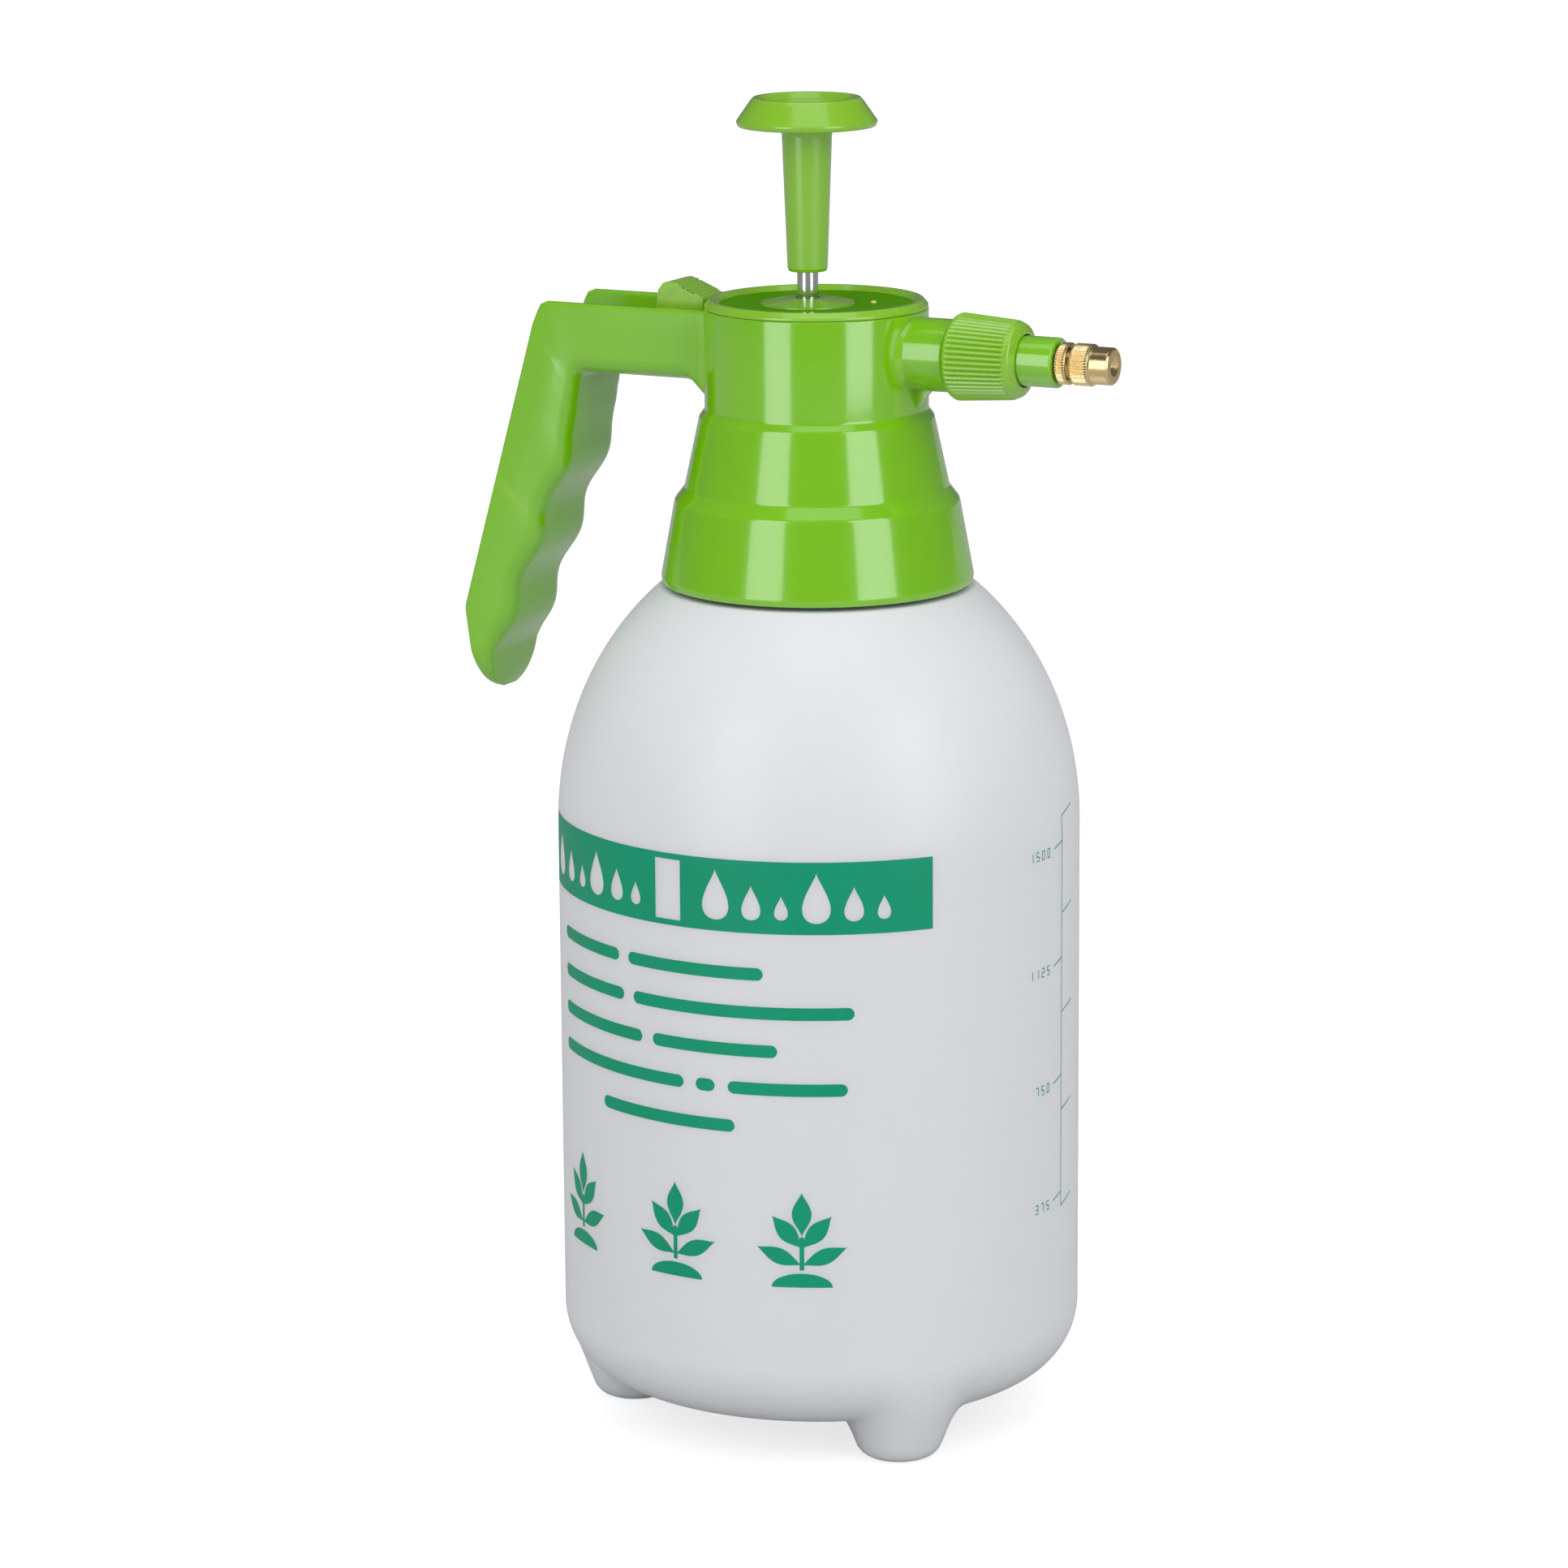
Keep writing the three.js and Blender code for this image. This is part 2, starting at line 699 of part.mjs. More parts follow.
place('barrel_seal', turned(loop([
  [barrelRadius + gap, webTop + gap],
  [barrelRadius + flangeReach - 0.1, webTop + gap],
  [barrelRadius + flangeReach - 0.1, webTop + gap + sealThickness],
  [barrelRadius + gap, webTop + gap + sealThickness],
]), medium, pumpOffset), blackRubber);

const flapTop = barrelBottom - gap;
place('check_valve', turned([
  [0, flapTop - 2.2],
  [4, flapTop - 2],
  [flapRadius, flapTop - 0.7],
  [flapRadius, flapTop],
  [valveHoleRadius - gap, flapTop],
  [valveHoleRadius - gap, barrelBottom + barrelFloor + gap],
  [valveHoleRadius + 0.9, barrelBottom + barrelFloor + gap + 0.4],
  [1.2, barrelBottom + barrelFloor + 3],
  [0, barrelBottom + barrelFloor + 3.2],
], small, pumpOffset), blackRubber);

// ---------- piston, cup, rod and knob ----------
const pistonRadius = barrelInner - pistonClearance;
const cupRoot = barrelInner - cupDepth;
const cupSeat = pistonBase + 2.2;
const rodSocket = pistonBase + rodSocketDepth;
place('piston', turned([
  [0, pistonBase],
  [pistonRadius, pistonBase],
  [pistonRadius, cupSeat],
  [cupRoot, cupSeat],
  [cupRoot, cupSeat + cupHeight + 2 * gap],
  [pistonRadius, cupSeat + cupHeight + 2 * gap],
  [pistonRadius, pistonBase + pistonHeight],
  [5, pistonBase + pistonHeight + 2],
  [5, pistonBase + pistonHeight + 5],
  [rodRadius + gap, pistonBase + pistonHeight + 5],
  [rodRadius + gap, rodSocket],
  [0, rodSocket],
], medium, pumpOffset), whitePlastic);

place('piston_cup', turned(loop([
  [cupRoot + gap, cupSeat + gap],
  [cupRoot + 1.3, cupSeat + gap],
  [barrelInner - 1.9, cupSeat + gap + 2.6],
  [barrelInner - 1.3, cupSeat + gap],
  [barrelInner - gap, cupSeat + gap],
  [barrelInner - gap - 0.3, cupSeat + gap + cupHeight],
  [cupRoot + gap, cupSeat + gap + cupHeight],
]), medium, pumpOffset), blackRubber);

const rodTop = stemBase + stemLength * rodReach;
place('pump_rod', turned([
  [0, rodSocket + gap],
  [rodRadius, rodSocket + gap],
  [rodRadius, rodTop - 0.8],
  [rodRadius - 0.8, rodTop],
  [0, rodTop],
], 20, pumpOffset), steel);

place('pump_knob', turned([
  [0, rodTop + gap],
  [rodRadius + gap, rodTop + gap],
  [rodRadius + gap, stemBase],
  [stemFootRadius - 0.5, stemBase],
  [stemFootRadius, stemBase + 0.6],
  [stemHeadRadius, knobBase - 1.5],
  [stemHeadRadius + 1, knobBase + 2.2],
  [knobRadius - 2.6, knobBase + 1],
  [knobRadius - 1.8, knobBase],
  [knobRadius - 0.4, knobBase],
  [knobRadius, knobBase + 0.9],
  [knobTopRadius + 0.6, knobTop - 0.9],
  [knobTopRadius - 0.2, knobTop],
  [knobTopRadius - 1.4, knobTop],
  [knobTopRadius - 2.6, knobTop - knobDish],
  [0, knobTop - knobDish],
], medium, pumpOffset), greenPlastic);

// ---------- trigger and its pin ----------
function trigger() {
  const front = -headRadius - 0.7;
  const bossSide = pinRadius + 2;
  const body = slab([
    [front, pinHeight - 0.5],
    [front, headTop + 1.3],
    [valveX + 1.2, headTop + triggerPeak - 0.6],
    [valveX - 0.6, headTop + triggerPeak - 0.9],
    [valveX - 2.3, headTop + triggerPeak - 3],
    [valveX - 3, triggerUnderside + 0.4],
    [valveX - 1.6, triggerUnderside],
    [valveX + 3.4, triggerUnderside],
    [pinX - bossSide, pinHeight - 0.5],
    [pinX - 1.6, pinHeight - 3.1],
    [pinX + 0.8, pinHeight - 3.1],
  ], triggerWidth);
  return cut(body, barY(pinRadius + gap, -triggerWidth, triggerWidth, pinX, pinHeight));
}
place('trigger', trigger(), greenPlastic);

const pinReach = gripWidth / 2 - pinSkin - gap;
place('trigger_pin', barY(pinRadius, -pinReach, pinReach, pinX, pinHeight), steel);

// ---------- valve ----------
const deliveryStart = 160;
const deliveryEnd = 18;
const barb = deliveryBore - 0.45;

function onDeliveryCircle(angle) {
  const a = THREE.MathUtils.degToRad(angle);
  return [deliveryCircle * Math.cos(a), deliveryCircle * Math.sin(a)];
}
const outletPost = onDeliveryCircle(deliveryStart);

function valveBody() {
  const outer = joined(
    bar(valveRadius, valveBase, valveTop, small, valveX),
    barX(armTubeRadius, valveX + 2, suctionX + 1.6, portHeight, -armTubeY),
    bar(armTubeRadius, portHeight - 3, portHeight + 2, small, suctionX, -armTubeY),
    bar(suctionBore - gap, webTop - 1, portHeight, small, suctionX, -armTubeY),
    barX(armTubeRadius, valveX + 2, outletPost[0] + 1.4, portHeight, armTubeY),
    barY(barb, armTubeY - 1, outletPost[1] + 0.5, outletPost[0], portHeight, 12),
  );
  return cut(
    outer,
    bar(valveBore, portHeight - 1.4, valveTop + 1, small, valveX),
    barX(0.8, valveX, suctionX, portHeight, -armTubeY, 8),
    bar(0.8, webTop - 2, portHeight + 0.4, 8, suctionX, -armTubeY),
    barX(0.8, valveX, outletPost[0] + 0.4, portHeight, armTubeY, 8),
    barY(0.45, armTubeY, outletPost[1] + 3, outletPost[0], portHeight, 8),
  );
}
place('valve_body', valveBody(), whitePlastic);

const stemTop = triggerUnderside - gap;
const springSeat = stemTop - 1.9;
const stemFoot = portHeight - 1.4 + valveTravel + 0.25;
const sealBase = stemFoot + 0.9;
place('valve_stem', turned([
  [0, stemFoot],
  [valveBore - 0.5, stemFoot],
  [valveBore - 0.5, sealBase - 0.2],
  [valveStemRadius, sealBase - 0.2],
  [valveStemRadius, springSeat],
  [springRadius + 0.2, springSeat],
  [springRadius + 0.2, springSeat + 0.8],
  [1.4, springSeat + 0.8],
  [1.4, stemTop - 0.4],
  [0.8, stemTop],
  [0, stemTop],
], small, valveX), steel);

place('stem_seal', turned(loop([
  [valveStemRadius + gap, sealBase + 0.1],
  [valveBore - gap, sealBase + 0.1],
  [valveBore - gap, sealBase + 1.1],
  [valveStemRadius + gap, sealBase + 1.1],
]), small, valveX), blackRubber);

class SpringLine extends THREE.Curve {
  getPoint(t, target = new THREE.Vector3()) {
    const low = valveTop + gap + springWire / 2;
    const high = springSeat - gap - springWire / 2;
    const angle = 2 * Math.PI * springTurns * t;
    const r = springRadius - springWire / 2;
    return target.set(valveX + r * Math.cos(angle), r * Math.sin(angle), low + (high - low) * t);
  }
}

function circle(radius, sides) {
  const points = [];
  for (let i = 0; i < sides; i += 1) {
    const a = (2 * Math.PI * i) / sides;
    points.push(new THREE.Vector2(radius * Math.cos(a), radius * Math.sin(a)));
  }
  return new THREE.Shape(points);
}

function swept(curve, radius, sides, steps) {
  return solid(new THREE.ExtrudeGeometry(circle(radius, sides), { steps, extrudePath: curve }));
}
place('valve_spring', swept(new SpringLine(), springWire / 2, 5, springTurns * 10), steel);

// ---------- suction ----------
const suctionTop = portHeight - 3 - gap;
const floorHere = baseClearance + baseDish + bottleWall;
const filterBase = floorHere + filterClearance;
const tubeFoot = filterBase + 4;
place('suction_tube', turned(loop([
  [suctionBore, tubeFoot],
  [suctionRadius, tubeFoot],
  [suctionRadius, suctionTop],
  [suctionBore, suctionTop],
]), small, suctionX, -armTubeY), clearHose);

function suctionFilter() {
  const shell = turned([
    [0, filterBase],
    [filterRadius, filterBase],
    [filterRadius, filterBase + filterHeight - 4],
    [suctionRadius + gap + 0.3, filterBase + filterHeight],
    [0, filterBase + filterHeight],
  ], small, suctionX, -armTubeY);
  const slots = [0, 45, 90, 135].map((angle) => {
    const geometry = new THREE.BoxGeometry(2 * filterRadius + 2, 1, 6);
    geometry.rotateZ(THREE.MathUtils.degToRad(angle));
    geometry.translate(suctionX, -armTubeY, filterBase + 5);
    return solid(geometry);
  });
  const room = bar(filterRadius - 0.8, filterBase + 1, filterBase + 8.4, small, suctionX, -armTubeY);
  const socket = bar(suctionRadius + gap, tubeFoot - gap, 400, small, suctionX, -armTubeY);
  return cut(shell, room, socket, ...slots);
}
place('suction_filter', suctionFilter(), whitePlastic);

// ---------- delivery tube and outlet elbow ----------
class DeliveryLine extends THREE.Curve {
  getPoint(t, target = new THREE.Vector3()) {
    const angle = THREE.MathUtils.degToRad(deliveryStart + (deliveryEnd - deliveryStart) * t);
    const z = portHeight + (nozzleHeight - portHeight) * t;
    return target.set(deliveryCircle * Math.cos(angle), deliveryCircle * Math.sin(angle), z);
  }
}
class DeliveryBore extends THREE.Curve {
  getPoint(t, target = new THREE.Vector3()) {
    return new DeliveryLine().getPoint(-0.05 + 1.1 * t, target);
  }
}
place('delivery_tube', cut(
  swept(new DeliveryLine(), deliveryRadius, 8, 12),
  swept(new DeliveryBore(), deliveryBore, 8, 12),
), clearHose);

function outletElbow() {
  const post = onDeliveryCircle(deliveryEnd);
  const back = boreRadius - 5.6;
  const outer = joined(
    barX(3, back, boreRadius - 0.5, nozzleHeight),
    barX(spigotThreadRadius - spigotWall - gap, boreRadius - 0.6, spigotLength - 1, nozzleHeight),
    barY(barb, 0, post[1] + 0.5, post[0], nozzleHeight, 12),
  );
  return cut(
    outer,
    barX(1.4, back + 1.6, spigotLength, nozzleHeight, 0, 10),
    barY(0.45, 0, post[1] + 2, post[0], nozzleHeight, 8),
  );
}
place('outlet_elbow', outletElbow(), whitePlastic);

// ---------- union nut, nozzle tube and washer ----------
const flangeStart = spigotLength + washerThickness + 2 * gap;
const tubeShoulder = flangeStart + tubeFlange;
const nutFace = tubeShoulder + gap;
const nutBore = spigotThreadRadius + 0.45;
place('union_nut', turnedX(loop([
  [nutBore, nutBack],
  [nutBackRadius - 0.3, nutBack],
  [nutBackRadius, nutBack + 0.4],
  [nutFrontRadius, nutKnurlEnd],
  [nutFrontRadius - 0.9, nutKnurlEnd + 1.6],
  [tubeRadius + 0.9, nutFront],
  [tubeRadius + gap, nutFront],
  [tubeRadius + gap, nutFace],
  [nutBore, nutFace],
]), medium, nozzleHeight), greenPlastic);

place('union_washer', turnedX(loop([
  [2.6, spigotLength + gap],
  [spigotThreadRadius - 0.3, spigotLength + gap],
  [spigotThreadRadius - 0.3, spigotLength + gap + washerThickness],
  [2.6, spigotLength + gap + washerThickness],
]), medium, nozzleHeight), blackRubber);

const shankStart = tubeEnd - brassShank;
place('nozzle_tube', turnedX(loop([
  [1.8, flangeStart],
  [spigotThreadRadius - 0.2, flangeStart],
  [spigotThreadRadius - 0.2, tubeShoulder],
  [tubeRadius, tubeShoulder],
  [tubeRadius, tubeEnd - 0.5],
  [tubeRadius - 0.5, tubeEnd],
  [tubeBore, tubeEnd],
  [tubeBore, shankStart - gap],
  [1.8, shankStart - gap],
]), medium, nozzleHeight), greenPlastic);

// ---------- brass nozzle ----------
const ringStart = tubeEnd + gap;
const ringEnd = ringStart + brassRingWidth;
const threadRadius = tipRadius - tipWall + 0.2;
const bodyEnd = tipStart + tipKnurlWidth + tipNose - 4.2;
place('nozzle_body', turnedX(loop([
  [1, shankStart],
  [tubeBore - gap, shankStart],
  [tubeBore - gap, ringStart],
  [brassRingRadius, ringStart],
  [brassRingRadius, ringEnd],
  [threadRadius, ringEnd],
  [threadRadius, bodyEnd],
  [1, bodyEnd],
]), medium, nozzleHeight), brass);

place('tip_seal', turnedX(loop([
  [1.1, bodyEnd + gap],
  [threadRadius - 0.2, bodyEnd + gap],
  [threadRadius - 0.2, bodyEnd + gap + 0.9],
  [1.1, bodyEnd + gap + 0.9],
]), small, nozzleHeight), blackRubber);

const tipBore = threadRadius + gap;
const tipRoof = bodyEnd + 2 * gap + 0.9;
place('nozzle_tip', turnedX(loop([
  [tipBore, tipStart],
  [tipKnurlRadius, tipStart],
  [tipKnurlRadius, tipStart + tipKnurlWidth],
  [tipRadius, tipStart + tipKnurlWidth + 0.5],
  [tipRadius, tipEnd - 0.4],
  [tipRadius - 0.4, tipEnd],
  [2.2, tipEnd],
  [orificeRadius, tipEnd - 1.2],
  [orificeRadius, tipRoof],
  [tipBore, tipRoof],
]), medium, nozzleHeight), brass);

export default assembly;
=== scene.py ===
# %% [markdown]
# # A hand-pumped pressure sprayer
# A milky blow-moulded bottle stands on three feet and carries a green screw-on head.
# The head holds a pump with a steel rod, a hooked handle with a thumb trigger, and a
# brass spray nozzle behind a ribbed union nut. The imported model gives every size, so this
# lesson starts by loading it as a fixed frame and then makes the fine surfaces around it.

# %% Load the frame
import math
import bmesh
import bpy
from mathutils import Matrix, Vector


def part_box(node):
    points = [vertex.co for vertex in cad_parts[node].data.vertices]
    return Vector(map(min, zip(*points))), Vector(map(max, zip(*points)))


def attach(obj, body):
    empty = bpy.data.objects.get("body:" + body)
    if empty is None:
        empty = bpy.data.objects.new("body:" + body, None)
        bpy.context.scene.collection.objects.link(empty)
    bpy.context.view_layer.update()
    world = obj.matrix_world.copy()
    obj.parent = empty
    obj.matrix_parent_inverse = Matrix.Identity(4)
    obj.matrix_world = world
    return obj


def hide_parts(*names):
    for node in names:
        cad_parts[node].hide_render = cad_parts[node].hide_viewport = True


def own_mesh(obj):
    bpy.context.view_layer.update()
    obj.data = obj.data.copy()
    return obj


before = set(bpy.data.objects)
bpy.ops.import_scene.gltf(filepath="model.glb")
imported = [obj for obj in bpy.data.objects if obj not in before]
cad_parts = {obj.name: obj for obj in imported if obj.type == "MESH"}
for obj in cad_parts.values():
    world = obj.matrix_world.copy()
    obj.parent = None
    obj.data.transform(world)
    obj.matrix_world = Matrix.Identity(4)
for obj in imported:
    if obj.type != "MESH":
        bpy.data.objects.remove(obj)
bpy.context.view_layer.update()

# %% [markdown]
# ## Measuring from the frame
# Lengths are easier to think about in millimetres, so every profile below is written in
# millimetres and scaled once, when its mesh is made. The bottle's own axis is the line that
# most pieces are turned about; the pump stands a little behind it, and the spray end lies
# along X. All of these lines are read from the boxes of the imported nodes. The bottle's skin
# is a hair slimmer than its box, which leaves room for the ink on it.

# %% Axes and heights
MM = 0.001


def low(node, axis):
    """The least x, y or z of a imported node, in millimetres."""
    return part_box(node)[0][axis] / MM


def high(node, axis):
    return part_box(node)[1][axis] / MM


def middle(node, axis):
    return (low(node, axis) + high(node, axis)) / 2


bottle_x = middle("neck_gasket", 0)
pump_x = middle("pump_barrel", 0)
nozzle_z = middle("nozzle_tip", 2)
INK_ROOM = 0.02
bottle_radius = high("bottle", 1) - INK_ROOM
rim_z = high("bottle", 2)
head_top = high("head_housing", 2)
print("bottle axis x %.2f, pump axis x %.2f, nozzle height %.2f" % (bottle_x, pump_x, nozzle_z))

# %% [markdown]
# ## The camera
# The object is seen from a little above, with the nozzle pointing away to the right. A long
# lens keeps its sides nearly parallel. The camera sits on a line that leaves the bottle's axis
# at an azimuth and an elevation; a very small roll sets the bottle upright in the frame.

# %% Camera
CAMERA_AZIMUTH = math.radians(27.0)
CAMERA_ELEVATION = math.radians(12.61)
CAMERA_ROLL = math.radians(-0.386)
CAMERA_DISTANCE = 1.3977
AIM_HEIGHT = 0.1539
AIM_SIDEWAYS = -0.00833
LENS = 133.98

camera_data = bpy.data.cameras.new("camera")
camera = bpy.data.objects.new("camera", camera_data)
bpy.context.scene.collection.objects.link(camera)
side = Vector((math.cos(CAMERA_AZIMUTH), math.sin(CAMERA_AZIMUTH), 0))
back = Vector((
    math.sin(CAMERA_AZIMUTH) * math.cos(CAMERA_ELEVATION),
    -math.cos(CAMERA_AZIMUTH) * math.cos(CAMERA_ELEVATION),
    math.sin(CAMERA_ELEVATION),
))
rise = back.cross(side)
tilt_side = side * math.cos(CAMERA_ROLL) + rise * math.sin(CAMERA_ROLL)
tilt_rise = rise * math.cos(CAMERA_ROLL) - side * math.sin(CAMERA_ROLL)
aim = Vector((bottle_x * MM, 0, AIM_HEIGHT)) + side * AIM_SIDEWAYS
axes = Matrix((tilt_side, tilt_rise, back)).transposed().to_4x4()
camera.matrix_world = Matrix.Translation(aim + back * CAMERA_DISTANCE) @ axes
camera_data.sensor_width = 36.0
camera_data.lens = LENS
camera_data.clip_end = 20
bpy.context.scene.camera = camera
print("camera at", [round(v, 3) for v in camera.matrix_world.translation])

# %% [markdown]
# ## The studio
# A plain pale floor and a white surround give the clean product-shot look. Glossy plastic is
# drawn by what it mirrors, so two tall light boxes stand left and right of the camera: they
# leave the two upright bright bands on the head's cones. A broad light overhead fills the
# top faces. The surround is dimmer in mirrored rays, so that the green keeps its depth.

# %% Floor, surround and lights
SURROUND_LIGHT = 0.8
SURROUND_MIRRORED = 0.13
scene = bpy.context.scene
scene.view_settings.view_transform = "Standard"
scene.view_settings.look = "None"
world = bpy.data.worlds.new("white surround")
scene.world = world
world.use_nodes = True
surround = world.node_tree.nodes["Background"]
surround.inputs["Color"].default_value = (1, 1, 1, 1)
mirrored = world.node_tree.nodes.new("ShaderNodeLightPath")
strength = world.node_tree.nodes.new("ShaderNodeMapRange")
strength.inputs["To Min"].default_value = SURROUND_LIGHT
strength.inputs["To Max"].default_value = SURROUND_MIRRORED
world.node_tree.links.new(mirrored.outputs["Is Glossy Ray"], strength.inputs["Value"])
world.node_tree.links.new(strength.outputs["Result"], surround.inputs["Strength"])


def light_box(name, azimuth, elevation, distance, width, height, power):
    """Stands an area light off the camera's azimuth, facing the object's middle."""
    data = bpy.data.lights.new(name, "AREA")
    data.shape = "RECTANGLE"
    data.size = width
    data.size_y = height
    data.energy = power
    box = bpy.data.objects.new(name, data)
    scene.collection.objects.link(box)
    turn = CAMERA_AZIMUTH + math.radians(azimuth)
    lift = math.radians(elevation)
    away = Vector((
        math.sin(turn) * math.cos(lift), -math.cos(turn) * math.cos(lift), math.sin(lift),
    ))
    centre = Vector((0, 0, 0.16))
    box.location = centre + away * distance
    box.rotation_euler = away.to_track_quat("Z", "Y").to_euler()
    return box


light_box("left light box", -40, 8, 1.5, 0.74, 1.9, 9.2)
light_box("right light box", 44, 20, 1.5, 0.8, 1.2, 6.6)
light_box("overhead light box", 10, 78, 1.6, 1.3, 1.3, 4.0)

# %% [markdown]
# ## Building meshes
# Nearly every piece here is turned, moulded or knurled. A turned piece is a profile of
# radius and height spun round a line, so one function does it, with a `shift` function that
# may move any point: that is how feet, threads, ribs and knurls are made on the same grid.
# Real corners are never sharp, so profiles pass through `soften`, which swaps each corner
# for a short arc. A third number on a profile point asks for that arc's radius.

# %% Profile and turning helpers
def soften(points, steps=4, closed=False):
    """Replaces each corner that carries a radius by an arc of that radius."""
    out = []
    count = len(points)
    for i, point in enumerate(points):
        here = Vector(point[:2])
        radius = point[2] if len(point) > 2 else 0
        if radius <= 0 or (not closed and i in (0, count - 1)):
            out.append((here.x, here.y))
            continue
        a = Vector(points[i - 1][:2]) - here
        b = Vector(points[(i + 1) % count][:2]) - here
        corner = a.angle(b)
        if corner > math.radians(179):
            out.append((here.x, here.y))
            continue
        reach = min(radius / math.tan(corner / 2), 0.48 * a.length, 0.48 * b.length)
        radius = reach * math.tan(corner / 2)
        bisector = (a.normalized() + b.normalized()).normalized()
        centre = here + bisector * (radius / math.sin(corner / 2))
        first = here + a.normalized() * reach - centre
        last = here + b.normalized() * reach - centre
        swing = first.angle_signed(last)
        for k in range(steps + 1):
            spoke = Matrix.Rotation(-swing * k / steps, 2) @ first
            out.append((centre.x + spoke.x, centre.y + spoke.y))
    return out


def finish_mesh(name, verts, faces, sharp=38):
    """Makes a smooth-shaded mesh whose steep edges stay crisp."""
    mesh = bpy.data.meshes.new(name)
    mesh.from_pydata([(x * MM, y * MM, z * MM) for x, y, z in verts], [], faces)
    tool = bmesh.new()
    tool.from_mesh(mesh)
    bmesh.ops.remove_doubles(tool, verts=tool.verts, dist=0.000002)
    bmesh.ops.recalc_face_normals(tool, faces=tool.faces)
    tool.to_mesh(mesh)
    tool.free()
    mesh.shade_smooth()
    mesh.set_sharp_from_angle(angle=math.radians(sharp))
    return mesh


def turned(name, profile, columns=96, centre=(0, 0), lying=False, closed=False, shift=None, sharp=38):
    """Spins a profile of (radius, height) round an upright line, or round a lying one."""
    verts = []
    faces = []
    rows = len(profile)
    for r, h in profile:
        for k in range(columns):
            angle = 2 * math.pi * k / columns
            radius, height = (r, h) if shift is None else shift(r, h, angle)
            u = radius * math.cos(angle)
            v = radius * math.sin(angle)
            if lying:
                verts.append((centre[0] + height, u, centre[1] + v))
            else:
                verts.append((centre[0] + u, centre[1] + v, height))
    last = rows if closed else rows - 1
    for i in range(last):
        for k in range(columns):
            a = i * columns + k
            b = i * columns + (k + 1) % columns
            c = ((i + 1) % rows) * columns + (k + 1) % columns
            d = ((i + 1) % rows) * columns + k
            faces.append((a, b, c, d))
    return finish_mesh(name, verts, faces, sharp)


print("corner test:", len(soften([(0, 0), (10, 0, 2), (10, 10)])), "points")

# %% [markdown]
# Some pieces are joined from several solids, and have holes through them. Blender's exact
# boolean does that on dense meshes without tearing them. The result is baked into a plain
# mesh at once, so nothing is left to compute later.

# %% Joining, cutting and placing
def combine(mesh, *steps, sharp=38):
    """Joins or cuts a mesh by others: each step is ("UNION" or "DIFFERENCE", mesh)."""
    work = bpy.data.objects.new("work", mesh)
    scene.collection.objects.link(work)
    tools = []
    for operation, other in steps:
        tool = bpy.data.objects.new("tool", other)
        scene.collection.objects.link(tool)
        tools.append(tool)
        step = work.modifiers.new("step", "BOOLEAN")
        step.operation = operation
        step.solver = "EXACT"
        step.object = tool
    graph = bpy.context.evaluated_depsgraph_get()
    result = bpy.data.meshes.new_from_object(work.evaluated_get(graph))
    for thing in [work, *tools]:
        bpy.data.objects.remove(thing)
    result.name = mesh.name
    result.shade_smooth()
    result.set_sharp_from_angle(angle=math.radians(sharp))
    return result


def place(name, mesh, finish, body, slot, *stands_for):
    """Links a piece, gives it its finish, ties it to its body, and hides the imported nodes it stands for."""
    piece = bpy.data.objects.new(name, mesh)
    scene.collection.objects.link(piece)
    piece.data.materials.clear()
    piece.data.materials.append(finish)
    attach(piece, body)
    if stands_for:
        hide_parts(*stands_for)
    size = piece.dimensions / MM
    print("%-16s %6d faces  %.1f x %.1f x %.1f mm" % (name, len(mesh.polygons), *size))
    return piece


def drum(radius, start, end, centre, lying=False, columns=48):
    """A plain round tool for holes and posts."""
    profile = [(0, start), (radius, start), (radius, end), (0, end)]
    return turned("drum", profile, columns, centre, lying)


# %% [markdown]
# ## Shared surface effects
# Moulded plastic looks real because of small unevenness: slow waves in its colour where the
# melt flowed, a fine grain that breaks up reflections, hairline handling marks, and edges
# that catch light because they are rubbed. Each effect is a node group with its own named
# sockets, built once and then placed in every material with that material's numbers.

# %% Node group helpers
def new_group(name, inputs, outputs):
    """Starts a shader node group. Inputs are (name, default); outputs are names."""
    tree = bpy.data.node_groups.new(name, "ShaderNodeTree")
    for label, value in inputs:
        socket = tree.interface.new_socket(label, in_out="INPUT", socket_type="NodeSocketFloat")
        socket.default_value = value
    for label in outputs:
        tree.interface.new_socket(label, in_out="OUTPUT", socket_type="NodeSocketFloat")
    start = tree.nodes.new("NodeGroupInput")
    end = tree.nodes.new("NodeGroupOutput")
    return tree, start, end


def add(tree, kind, **settings):
    """Adds a node and sets its properties and its unlinked sockets by name."""
    node = tree.nodes.new(kind)
    for key, value in settings.items():
        if hasattr(node, key):
            setattr(node, key, value)
        else:
            node.inputs[key.replace("_", " ")].default_value = value
    return node


def join(tree, source, target):
    tree.links.new(source, target)


def arithmetic(tree, operation, a, b=None, clamp=False):
    """A Math node fed by sockets or by numbers."""
    node = tree.nodes.new("ShaderNodeMath")
    node.operation = operation
    node.use_clamp = clamp
    for i, value in enumerate((a, b)):
        if value is None:
            continue
        if isinstance(value, (int, float)):
            node.inputs[i].default_value = value
        else:
            join(tree, value, node.inputs[i])
    return node.outputs[0]


# %% [markdown]
# The first group is the grain: two sizes of noise in object coordinates, so the pattern sits
# still on the piece however it moves. It gives a height for a Bump node and a spread for
# roughness.

